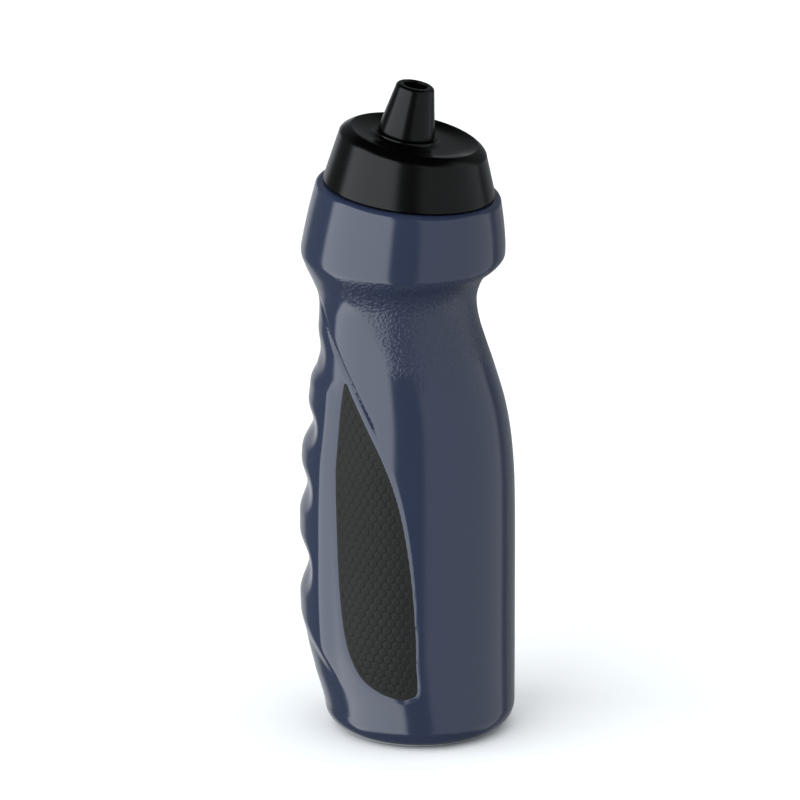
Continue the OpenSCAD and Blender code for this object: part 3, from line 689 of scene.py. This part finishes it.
class Spout:
    """Heights along the dish's own axis, from the dish's floor, of what the nozzle slides and closes on."""

    def __init__(self, cap, nozzle):
        axis = np.array([math.sin(NECK_LEAN), 0, math.cos(NECK_LEAN)])
        up = np.array([math.sin(RIM_LEAN), 0, math.cos(RIM_LEAN)])
        across = np.array([math.cos(RIM_LEAN), 0, -math.sin(RIM_LEAN)])
        self.rim = DECK + cap.rim_rise * axis
        self.dish = self.rim - nozzle.offset * across - cap.dish_depth * up
        self.pedestal_r = nozzle.foot_r + 0.3 * MM
        self.foot = cap.pedestal_h + nozzle.foot_gap
        self.bead_under = cap.boss_h - 2 * cap.ring_cord - 2.1 * MM
        self.bead_top = self.bead_under + 1 * MM
        self.ring = self.bead_top + cap.ring_cord + 0.4 * MM
        self.bore = cap.boss_r + cap.bead + nozzle.bore_gap
        self.orifice = cap.boss_h + 1.2 * MM
        self.guide_top = self.bead_under - TRAVEL - nozzle.foot_gap
        self.cord_r = self.bore - 0.04 * MM - cap.ring_cord


def rim_profile(cap):
    """[r, h] rows from the shoulder over the rounded rim to its lip, and down the dish's slope."""
    a = np.radians(np.linspace(0, 90, 16))
    rim = np.column_stack([mix(cap.dish_r + cap.rim_flat, cap.shoulder_r, np.cos(a)),
                           -cap.shoulder_drop * (np.cos(a) + 1 - np.sin(a)) / 2])
    lip = 0.25 * MM
    lip_arc = arc((cap.dish_r + 0.4 * MM, -lip), lip, 90, 170, 5)
    a = np.radians(np.linspace(4, 90, 16))
    slope = np.column_stack([cap.dish_r - cap.dish_slope * a / (np.pi / 2),
                             -lip - (cap.dish_depth - lip) * np.sin(a)])
    return np.vstack([rim, lip_arc, slope])


def boss_profile(cap, spout):
    """[r, h] rows from the dish's floor up the pedestal's flare and the boss, past its bead and the O-ring's
    groove, over its top and down its bore."""
    a = np.radians(np.linspace(0, 90, 12))
    flare = np.column_stack([spout.pedestal_r + cap.flare * (1 - np.sin(a)),
                             cap.pedestal_h * (1 - np.cos(a))])
    flare[0, 1] = 0.02 * MM
    r, bore, bead, top = cap.boss_r, cap.boss_r - cap.boss_wall, cap.bead, cap.boss_h
    floor_r = spout.cord_r - cap.ring_cord - 0.03 * MM
    groove = cap.ring_cord + 0.1 * MM
    edge = 0.3 * MM
    return np.vstack([
        flare,
        line((spout.pedestal_r - 1 * MM, cap.pedestal_h), (r + 0.4 * MM, cap.pedestal_h), 3),
        [[r, cap.pedestal_h + edge], [r, spout.bead_under - 0.1 * MM], [r, spout.bead_under]],
        line((r + bead, spout.bead_under + bead), (r + bead, spout.bead_top - bead), 2),
        [[r, spout.bead_top], [r, spout.ring - groove], [floor_r, spout.ring - groove],
         [floor_r, spout.ring + groove], [r, spout.ring + groove], [r, top - edge]],
        arc((r - edge, top - edge), edge, 30, 90, 3),
        [[bore + CHAMFER, top], [bore, top - CHAMFER],
         [bore, CHAMFER - cap.wall], [bore + CHAMFER, -cap.wall]],
    ])


def sleeve_r(s, cap):
    """Bore radius of the threaded sleeve, clear of the neck's thread."""
    return s.neck_bore + s.neck_wall + s.thread_h + cap.thread_gap


def sleeve_profile(s, cap, seat):
    """[r, h] rows of the sleeve's bore, from the seal's seat down, and the rise of the thread in it, which is
    half a pitch from the neck's."""
    h = np.linspace(seat - 0.1 * MM, cap.gap + 0.3 * MM, 50)
    turn = np.arange(cap.columns) * TURN / cap.columns
    rise = thread_rise(h, turn, s.thread_start + s.pitch / 2, s.pitch, s.thread_turns, s.thread_w,
                       -s.thread_h)
    return np.column_stack([np.full(len(h), sleeve_r(s, cap)), h]), rise


def hollow_profile(s, cap):
    """[r, h] rows over the sleeve's lower edge, up its outside, and down the skirt's inside, which keeps the
    wall's thickness from the skirt's taper."""
    bore = sleeve_r(s, cap)
    outer = bore + cap.sleeve_wall
    taper = (cap.shoulder_r - cap.skirt_r) / (cap.rim_rise - cap.shoulder_drop)
    low, top = cap.gap, cap.hollow_top
    inner = [cap.skirt_r + taper * height - cap.wall - 0.1 * MM for height in (low, top * 0.5, top)]
    return np.vstack([
        [[bore + CHAMFER, low], [outer - CHAMFER, low], [outer, low + CHAMFER]],
        line((outer, top * 0.5), (outer, top), 2),
        [[max(inner[2], outer + CHAMFER), top], [inner[1], top * 0.5],
         [inner[0], low + 0.3 * MM], [inner[0] + 0.3 * MM, low]],
    ])


def cap_points(s, cap, nozzle):
    """The cap as one closed loop of rings: up the skirt, over the rounded rim, down the dish, up the boss and
    down its bore, then under the top, down the threaded sleeve and back along the skirt's inside."""
    spout = Spout(cap, nozzle)
    turn = np.arange(cap.columns) * TURN / cap.columns
    seat = s.neck_h + cap.seal_t + 2 * cap.seal_gap

    def about_neck(profile, rise=None):
        return on_axis(DECK, NECK_LEAN, np.atleast_2d(profile), turn, rise)

    def about_rim(profile):
        return on_axis(spout.rim, RIM_LEAN, np.atleast_2d(profile), turn)

    edge = 0.5 * MM
    low = about_neck([cap.skirt_r, cap.gap + 0.7 * MM])
    shoulder = about_rim([cap.shoulder_r, -cap.shoulder_drop])
    t = np.linspace(0.05, 0.96, 18)[:, None, None]
    return np.concatenate([
        about_neck(arc((cap.skirt_r - edge, cap.gap + edge), edge, 270, 350, 5)),
        low,
        low * (1 - t) + shoulder * t,
        about_rim(rim_profile(cap)),
        on_axis(spout.dish, RIM_LEAN, boss_profile(cap, spout), turn),
        about_rim([s.neck_bore - 3.7 * MM, -cap.dish_depth - cap.wall]),
        about_neck([s.neck_bore - 3.5 * MM, seat + 0.05 * MM]) - [0.5 * MM, 0, 0],
        about_neck([sleeve_r(s, cap) - CHAMFER, seat]),
        about_neck(*sleeve_profile(s, cap, seat)),
        about_neck(hollow_profile(s, cap)),
    ])


def seal_points(s, cap):
    """A flat ring with rounded edges and three fine waves across each face."""
    turn = np.arange(192) * TURN / 192
    outer = sleeve_r(s, cap) - 0.5 * MM
    low = s.neck_h + cap.seal_gap
    high = low + cap.seal_t
    edge, rib = 0.3 * MM, 0.12 * MM
    r = np.linspace(outer - cap.seal_w + edge, outer - edge, 24)
    dip = rib * (0.5 + 0.5 * np.cos((r - r[0]) / (r[-1] - r[0]) * 3 * TURN))
    inset = edge + rib
    return on_axis(DECK, NECK_LEAN, np.vstack([
        np.column_stack([r, low + dip]),
        arc((r[-1], low + inset), edge, -60, 0, 4), arc((r[-1], high - inset), edge, 0, 60, 4),
        np.column_stack([r[::-1], high - dip]),
        arc((r[0], high - inset), edge, 120, 180, 4), arc((r[0], low + inset), edge, 180, 240, 4),
    ]), turn)


def nozzle_points(cap, nozzle):
    """The nozzle as one closed loop of rings: out along its foot, up the taper, over the lip, down the
    drinking hole and through the orifice, then back down the bore and the guide ring."""
    spout = Spout(cap, nozzle)
    turn = np.arange(nozzle.columns) * TURN / nozzle.columns
    foot, top = spout.foot, spout.foot + nozzle.height
    lip, edge, hole_edge, orifice_edge = nozzle.lip_round, 0.4 * MM, 0.45 * MM, 0.3 * MM
    guide = cap.boss_r + nozzle.guide_gap
    orifice_top = spout.orifice + nozzle.plug_h
    profile = np.vstack([
        [[guide + CHAMFER, foot]],
        line((guide + 1 * MM, foot), (nozzle.foot_r - edge, foot), 3),
        arc((nozzle.foot_r - edge, foot + edge), edge, 300, 350, 4),
        line((nozzle.foot_r, foot + edge * 1.3), (nozzle.tip_r, top - lip), 24),
        arc((nozzle.tip_r - lip, top - lip), lip, 6, 90, 12),
        arc((nozzle.hole_r + hole_edge, top - hole_edge), hole_edge, 90, 180, 6),
        line((nozzle.hole_r, top - 1.2 * MM), (nozzle.hole_r, orifice_top + CHAMFER), 3),
        [[nozzle.hole_r - CHAMFER, orifice_top]],
        arc((nozzle.orifice_r + orifice_edge, orifice_top - orifice_edge), orifice_edge, 90, 180, 4),
        [[nozzle.orifice_r, spout.orifice + CHAMFER / 2], [nozzle.orifice_r + CHAMFER / 2, spout.orifice],
         [spout.bore - CHAMFER, spout.orifice], [spout.bore, spout.orifice - CHAMFER]],
        line((spout.bore, spout.orifice - 2 * MM), (spout.bore, spout.guide_top + CHAMFER), 3),
        [[spout.bore - CHAMFER / 2, spout.guide_top], [guide, spout.guide_top - CHAMFER / 2],
         [guide, foot + CHAMFER]],
    ])
    return on_axis(spout.dish, RIM_LEAN, profile, turn)


def ring_points(cap, nozzle):
    """The O-ring: a circle carried round a circle."""
    spout = Spout(cap, nozzle)
    turn = np.arange(128) * TURN / 128
    return on_axis(spout.dish, RIM_LEAN, arc((spout.cord_r, spout.ring), cap.ring_cord, 0, 345, 24), turn)


# ---------------------------------------------------------------- shader groups and materials

def new_group(name, inputs, outputs):
    """An empty shader group with float inputs {name: default} and float outputs."""
    tree = bpy.data.node_groups.new(name, "ShaderNodeTree")
    for key, value in inputs.items():
        socket = tree.interface.new_socket(key, in_out="INPUT", socket_type="NodeSocketFloat")
        socket.default_value = value
    for key in outputs:
        tree.interface.new_socket(key, in_out="OUTPUT", socket_type="NodeSocketFloat")
    return tree, tree.nodes.new("NodeGroupInput"), tree.nodes.new("NodeGroupOutput")


def math_node(tree, operation, a, b=None, clamp=False):
    """A Math node fed by sockets or numbers."""
    node = tree.nodes.new("ShaderNodeMath")
    node.operation = operation
    node.use_clamp = clamp
    for i, value in enumerate((a, b)):
        if value is None:
            continue
        if isinstance(value, bpy.types.NodeSocket):
            tree.links.new(value, node.inputs[i])
        else:
            node.inputs[i].default_value = value
    return node.outputs[0]


def plus(tree, a, b, clamp=False):
    """The sum of two sockets or numbers."""
    return math_node(tree, "ADD", a, b, clamp)


def minus(tree, a, b):
    """The difference of two sockets or numbers."""
    return math_node(tree, "SUBTRACT", a, b)


def times(tree, a, b):
    """The product of two sockets or numbers."""
    return math_node(tree, "MULTIPLY", a, b)


def smooth_range(tree, value, low, high):
    """A smooth mask that is 0 at low and 1 at high."""
    node = tree.nodes.new("ShaderNodeMapRange")
    node.interpolation_type = "SMOOTHSTEP"
    tree.links.new(value, node.inputs["Value"])
    node.inputs["From Min"].default_value = low
    node.inputs["From Max"].default_value = high
    return node.outputs["Result"]


def noise(tree, vector, scale, detail, roughness=0.5):
    """A noise texture's factor at a scale per metre, which is a number or a socket."""
    node = tree.nodes.new("ShaderNodeTexNoise")
    tree.links.new(vector, node.inputs["Vector"])
    if isinstance(scale, bpy.types.NodeSocket):
        tree.links.new(scale, node.inputs["Scale"])
    else:
        node.inputs["Scale"].default_value = scale
    node.inputs["Detail"].default_value = detail
    node.inputs["Roughness"].default_value = roughness
    return node.outputs["Fac"]


def object_place(tree):
    """The surface's own coordinates, in metres."""
    return tree.nodes.new("ShaderNodeTexCoord").outputs["Object"]


def mould_group():
    """What a moulded plastic surface shows: a faint drift of tone, and a fine skin that moves the gloss."""
    tree, given, out = new_group("Moulded skin", {"Drift": 0.1, "Skin": 0.1, "Grain size": 900.0},
                                 ["Tone", "Gloss", "Height"])
    place = object_place(tree)
    broad = minus(tree, noise(tree, place, 22, 2), 0.5)
    fine = minus(tree, noise(tree, place, given.outputs["Grain size"], 3), 0.5)
    gloss = plus(tree, fine, times(tree, broad, 0.8))
    tree.links.new(plus(tree, times(tree, broad, given.outputs["Drift"]), 1.0), out.inputs["Tone"])
    tree.links.new(times(tree, gloss, given.outputs["Skin"]), out.inputs["Gloss"])
    tree.links.new(fine, out.inputs["Height"])
    return tree


def handling_group():
    """Faint scuffs from handling: stretched noise that shows only in its peaks."""
    tree, given, out = new_group("Handling", {"Amount": 0.05}, ["Gloss"])
    mapping = tree.nodes.new("ShaderNodeMapping")
    mapping.inputs["Rotation"].default_value = (0.3, 0.5, 0.8)
    mapping.inputs["Scale"].default_value = (1, 1, 9)
    tree.links.new(object_place(tree), mapping.inputs["Vector"])
    peaks = smooth_range(tree, noise(tree, mapping.outputs["Vector"], 60, 5, 0.6), 0.6, 0.78)
    tree.links.new(times(tree, peaks, given.outputs["Amount"]), out.inputs["Gloss"])
    return tree


def shared(tree, name, make, values):
    """An instance, with its own values, of the shader group of that name, which is made once."""
    node = tree.nodes.new("ShaderNodeGroup")
    node.node_tree = bpy.data.node_groups.get(name) or make()
    for key, value in values.items():
        node.inputs[key].default_value = value
    return node.outputs


def new_material(name, base, rough, specular):
    """A material with a Principled shader set to these constants, and its tree and shader."""
    material = bpy.data.materials.new(name)
    material.use_nodes = True
    shader = material.node_tree.nodes["Principled BSDF"]
    shader.inputs["Base Color"].default_value = (*base, 1)
    shader.inputs["Roughness"].default_value = rough
    shader.inputs["Specular IOR Level"].default_value = specular
    material.diffuse_color = (*base, 1)
    return material, material.node_tree, shader


def tint(tree, base, tone):
    """A colour multiplied by a tone that varies over the surface."""
    node = tree.nodes.new("ShaderNodeMix")
    node.data_type = "RGBA"
    node.blend_type = "MULTIPLY"
    node.inputs[0].default_value = 1.0
    node.inputs[6].default_value = (*base, 1)
    tree.links.new(tone, node.inputs[7])
    return node.outputs[2]


def bump(tree, height, distance, strength=1.0, normal=None):
    """A Bump node's normal from a height in shares of distance."""
    node = tree.nodes.new("ShaderNodeBump")
    node.inputs["Distance"].default_value = distance
    node.inputs["Strength"].default_value = strength
    tree.links.new(height, node.inputs["Height"])
    if normal is not None:
        tree.links.new(normal, node.inputs["Normal"])
    return node.outputs["Normal"]


def moulded(name, base, rough, drift, skin, grain_size, relief, specular=0.5, scuffs=0.0):
    """A moulded material: its tone drifts, its gloss follows the skin and the scuffs, and the skin stands up
    by relief, which is (distance, strength). Gives the material, its tree, its shader, and the sockets that
    feed the shader's roughness and normal."""
    material, tree, shader = new_material(name, base, rough, specular)
    surface = shared(tree, "Moulded skin", mould_group,
                     {"Drift": drift, "Skin": skin, "Grain size": grain_size})
    tree.links.new(tint(tree, base, surface["Tone"]), shader.inputs["Base Color"])
    gloss = surface["Gloss"]
    if scuffs:
        gloss = plus(tree, gloss, shared(tree, "Handling", handling_group, {"Amount": scuffs})["Gloss"])
    gloss = plus(tree, gloss, rough, clamp=True)
    tree.links.new(gloss, shader.inputs["Roughness"])
    normal = bump(tree, surface["Height"], *relief)
    tree.links.new(normal, shader.inputs["Normal"])
    return material, tree, shader, gloss, normal


def grain_mask(tree, place):
    """Where the body is grained: from under the collar down past the waist, fading into the polished wall
    along a ragged edge that rises towards the fingers."""
    parts = tree.nodes.new("ShaderNodeSeparateXYZ")
    tree.links.new(place, parts.inputs["Vector"])
    x, z = parts.outputs["X"], parts.outputs["Z"]
    ragged = times(tree, minus(tree, noise(tree, place, 120, 3), 0.5), 22 * MM)
    aside = math_node(tree, "MAXIMUM", minus(tree, -4 * MM, x), 0.0)
    lower = plus(tree, times(tree, aside, 1.7), 138 * MM)
    fade = smooth_range(tree, plus(tree, minus(tree, z, lower), ragged), 0.0, 12 * MM)
    below = minus(tree, 1.0, smooth_range(tree, z, 179.5 * MM, 181.5 * MM))
    return times(tree, fade, below)


def navy_plastic(finishes):
    """Glossy navy polyethylene, with a fine leather grain round the waist, where it is less glossy."""
    material, tree, shader, gloss, normal = moulded("navy_plastic", finishes.navy, finishes.navy_rough, 0.16,
                                                    0.05, 700, (0.02 * MM, 0.05), scuffs=0.06)
    place = object_place(tree)
    mask = grain_mask(tree, place)
    pebbles = times(tree, smooth_range(tree, noise(tree, place, 820, 1), 0.38, 0.62), mask)
    tree.links.new(plus(tree, gloss, times(tree, mask, 0.16), clamp=True), shader.inputs["Roughness"])
    tree.links.new(bump(tree, pebbles, finishes.grain, 1.0, normal), shader.inputs["Normal"])
    return material


def black_plastic(name, finishes, grain_size):
    """Satin black polypropylene."""
    return moulded(name, finishes.cap_black, finishes.cap_rough, 0.2, 0.08, grain_size, (0.03 * MM, 0.3),
                   finishes.cap_specular, 0.09)[0]


def black_rubber(name, finishes):
    """Matt black rubber."""
    return moulded(name, finishes.rubber, finishes.rubber_rough, 0.35, 0.2, 2400, (0.04 * MM, 0.5), 0.22)[0]


def silicone(finishes):
    """Satin grey silicone that lets a little light in."""
    material, _, shader, _, _ = moulded("seal_silicone", finishes.silicone, 0.45, 0.1, 0.15, 1500,
                                        (0.03 * MM, 0.4))
    shader.inputs["Subsurface Weight"].default_value = 0.1
    shader.inputs["Subsurface Radius"].default_value = (2 * MM, 2 * MM, 2 * MM)
    return material


# ---------------------------------------------------------------- the stage

# Softboxes: (name of its brightness, azimuth, half width, lower and upper height, softness), in degrees and
# in shares of the dome's height
SOFTBOXES = [("key", 212, 42, -0.75, 0.75, 3), ("fill", 337.5, 51.5, -0.75, 0.7, 4),
             ("rim", 62, 20, -0.7, -0.1, 5), ("back", 108, 20, -0.75, 0.1, 6)]


def softbox(tree, azimuth, height, centre, half, low, high, soft):
    """A soft-edged panel on the studio's dome, as a mask over direction: centred at an azimuth in degrees,
    half wide, between two heights."""
    turned = minus(tree, azimuth, math.radians(centre))
    wrapped = math_node(tree, "WRAP", turned, math.pi)
    wrapped.node.inputs[2].default_value = -math.pi
    side = math_node(tree, "ABSOLUTE", wrapped)
    across = smooth_range(tree, side, math.radians(half - soft), math.radians(half + soft))
    up = smooth_range(tree, height, low - 0.06, low + 0.06)
    down = smooth_range(tree, height, high - 0.08, high + 0.08)
    return times(tree, minus(tree, 1.0, across), times(tree, up, minus(tree, 1.0, down)))


def light_dome(studio):
    """The studio's light: soft panels on a dim dome. The light from above reaches only diffuse surfaces, and
    what the camera sees past the floor is a plain pale wall."""
    world = bpy.data.worlds.new("studio")
    bpy.context.scene.world = world
    world.use_nodes = True
    tree = world.node_tree
    tree.nodes.clear()
    parts = tree.nodes.new("ShaderNodeSeparateXYZ")
    tree.links.new(tree.nodes.new("ShaderNodeTexCoord").outputs["Generated"], parts.inputs["Vector"])
    azimuth = math_node(tree, "ARCTAN2", parts.outputs["Y"], parts.outputs["X"])
    height = parts.outputs["Z"]
    rays = tree.nodes.new("ShaderNodeLightPath")
    above = times(tree, smooth_range(tree, height, 0.3, 0.9), rays.outputs["Is Diffuse Ray"])
    walls = minus(tree, 1.0, smooth_range(tree, height, 0.45, 0.8))
    light = plus(tree, times(tree, above, studio.top), times(tree, walls, studio.room))
    for name, *panel in SOFTBOXES:
        mask = softbox(tree, azimuth, height, *panel)
        light = plus(tree, light, times(tree, mask, getattr(studio, name)))
    dome = tree.nodes.new("ShaderNodeBackground")
    tree.links.new(light, dome.inputs["Strength"])
    dome.inputs["Color"].default_value = (0.93, 0.97, 1.0, 1)
    wall = tree.nodes.new("ShaderNodeBackground")
    wall.inputs["Color"].default_value = (1, 1, 1, 1)
    wall.inputs["Strength"].default_value = 1.0
    choose = tree.nodes.new("ShaderNodeMixShader")
    tree.links.new(rays.outputs["Is Camera Ray"], choose.inputs[0])
    tree.links.new(dome.outputs[0], choose.inputs[1])
    tree.links.new(wall.outputs[0], choose.inputs[2])
    out = tree.nodes.new("ShaderNodeOutputWorld")
    tree.links.new(choose.outputs[0], out.inputs["Surface"])


def pale_floor():
    """A wide plain floor that the bottle stands on."""
    material = new_material("pale_floor", (0.93, 0.93, 0.93), 0.9, 0.1)[0]
    half = 6.0
    mesh = bpy.data.meshes.new("floor")
    corners = [(-half, -half, 0), (half, -half, 0), (half, half, 0), (-half, half, 0)]
    mesh.from_pydata(corners, [], [(0, 1, 2, 3)])
    mesh.materials.append(material)
    floor = bpy.data.objects.new("floor", mesh)
    bpy.context.scene.collection.objects.link(floor)
    floor.visible_glossy = False


def place_camera(studio):
    """The camera, far off on -Y with a long lens, looking down by its elevation."""
    e = math.radians(studio.elevation)
    back = Vector((0, -math.cos(e), math.sin(e)))
    data = bpy.data.cameras.new("camera")
    camera = bpy.data.objects.new("camera", data)
    bpy.context.scene.collection.objects.link(camera)
    camera.location = Vector((0, 0, studio.aim)) + back * studio.distance
    camera.rotation_euler = back.to_track_quat("Z", "Y").to_euler()
    data.sensor_width = 36
    data.lens = data.sensor_width * studio.distance / studio.field
    data.shift_x, data.shift_y = studio.right, studio.up
    bpy.context.scene.camera = camera


# ---------------------------------------------------------------- operators, panel and main

class BOTTLE_OT_body(bpy.types.Operator):
    """Build the moulded body with its neck and thread"""

    bl_idname = "bottle.body"
    bl_label = "Body"

    def execute(self, context):
        bottle, pads, _, _, finishes = sizes()
        points, ends = body_points(bottle, pads)
        make_piece("bottle", points, "bottle", navy_plastic(finishes), "bottle_body",
                   ends=ends)
        return {"FINISHED"}


class BOTTLE_OT_pads(bpy.types.Operator):
    """Build the two rubber grip pads"""

    bl_idname = "bottle.pads"
    bl_label = "Grip pads"

    def execute(self, context):
        bottle, pads, _, _, finishes = sizes()
        rubber = black_rubber("grip_rubber", finishes)
        for name, side in (("grip_pad_left", 1), ("grip_pad_right", -1)):
            points, tips = pad_points(bottle, pads, side)
            make_piece(name.replace("grip", "rubber"), points, "bottle", rubber, name,
                       ends=tips, sharp=50)
        return {"FINISHED"}


class BOTTLE_OT_cap(bpy.types.Operator):
    """Build the screw cap and its seal"""

    bl_idname = "bottle.cap"
    bl_label = "Cap and seal"

    def execute(self, context):
        bottle, _, cap, nozzle, finishes = sizes()
        make_piece("cap", cap_points(bottle, cap, nozzle), "cap",
                   black_plastic("cap_plastic", finishes, 800), "screw_cap", loop=True)
        make_piece("seal", seal_points(bottle, cap), "seal", silicone(finishes), "cap_seal",
                   loop=True)
        return {"FINISHED"}


class BOTTLE_OT_nozzle(bpy.types.Operator):
    """Build the nozzle and its O-ring, and finish the valve post"""

    bl_idname = "bottle.nozzle"
    bl_label = "Nozzle"

    def execute(self, context):
        _, _, cap, nozzle, finishes = sizes()
        make_piece("push_pull_nozzle", nozzle_points(cap, nozzle), "spout",
                   black_plastic("nozzle_plastic", finishes, 1000), "nozzle", loop=True)
        make_piece("o_ring", ring_points(cap, nozzle), "cap", black_rubber("ring_rubber", finishes),
                   "nozzle_ring", loop=True)
        post = frame["nodes"]["valve_post"]
        post.data.materials.clear()
        post.data.materials.append(black_plastic("valve_plastic", finishes, 1400))
        return {"FINISHED"}


class BOTTLE_OT_stage(bpy.types.Operator):
    """Set up the floor, the light and the camera"""

    bl_idname = "bottle.stage"
    bl_label = "Stage"

    def execute(self, context):
        studio = context.scene.studio
        context.scene.view_settings.view_transform = "Standard"
        light_dome(studio)
        pale_floor()
        place_camera(studio)
        return {"FINISHED"}


class BOTTLE_PT_panel(bpy.types.Panel):
    """Sizes, finishes and the build buttons"""

    bl_idname = "BOTTLE_PT_panel"
    bl_label = "Squeeze bottle"
    bl_space_type = "VIEW_3D"
    bl_region_type = "UI"
    bl_category = "Squeeze bottle"

    def draw(self, context):
        for group in GROUPS:
            box = self.layout.box()
            box.label(text=group.__doc__.rstrip("."))
            for key in group.__annotations__:
                box.prop(getattr(context.scene, GROUPS[group]), key)
        for operator in OPERATORS:
            self.layout.operator(operator.bl_idname)


GROUPS = {BottleSizes: "bottle", PadSizes: "pads", CapSizes: "cap", NozzleSizes: "nozzle",
          Finishes: "finishes", Studio: "studio"}
OPERATORS = [BOTTLE_OT_stage, BOTTLE_OT_body, BOTTLE_OT_pads, BOTTLE_OT_cap, BOTTLE_OT_nozzle]


def register():
    """Register the classes and put the property groups on the scene."""
    for item in [*GROUPS, *OPERATORS, BOTTLE_PT_panel]:
        bpy.utils.register_class(item)
    for group, name in GROUPS.items():
        setattr(bpy.types.Scene, name, PointerProperty(type=group))


def unregister():
    """Undo register."""
    for name in GROUPS.values():
        delattr(bpy.types.Scene, name)
    for item in reversed([*GROUPS, *OPERATORS, BOTTLE_PT_panel]):
        bpy.utils.unregister_class(item)


def main():
    """Build the stage and every piece."""
    register()
    bpy.ops.bottle.stage()
    bpy.ops.bottle.body()
    bpy.ops.bottle.pads()
    bpy.ops.bottle.cap()
    bpy.ops.bottle.nozzle()


if __name__ == "__main__":
    main()
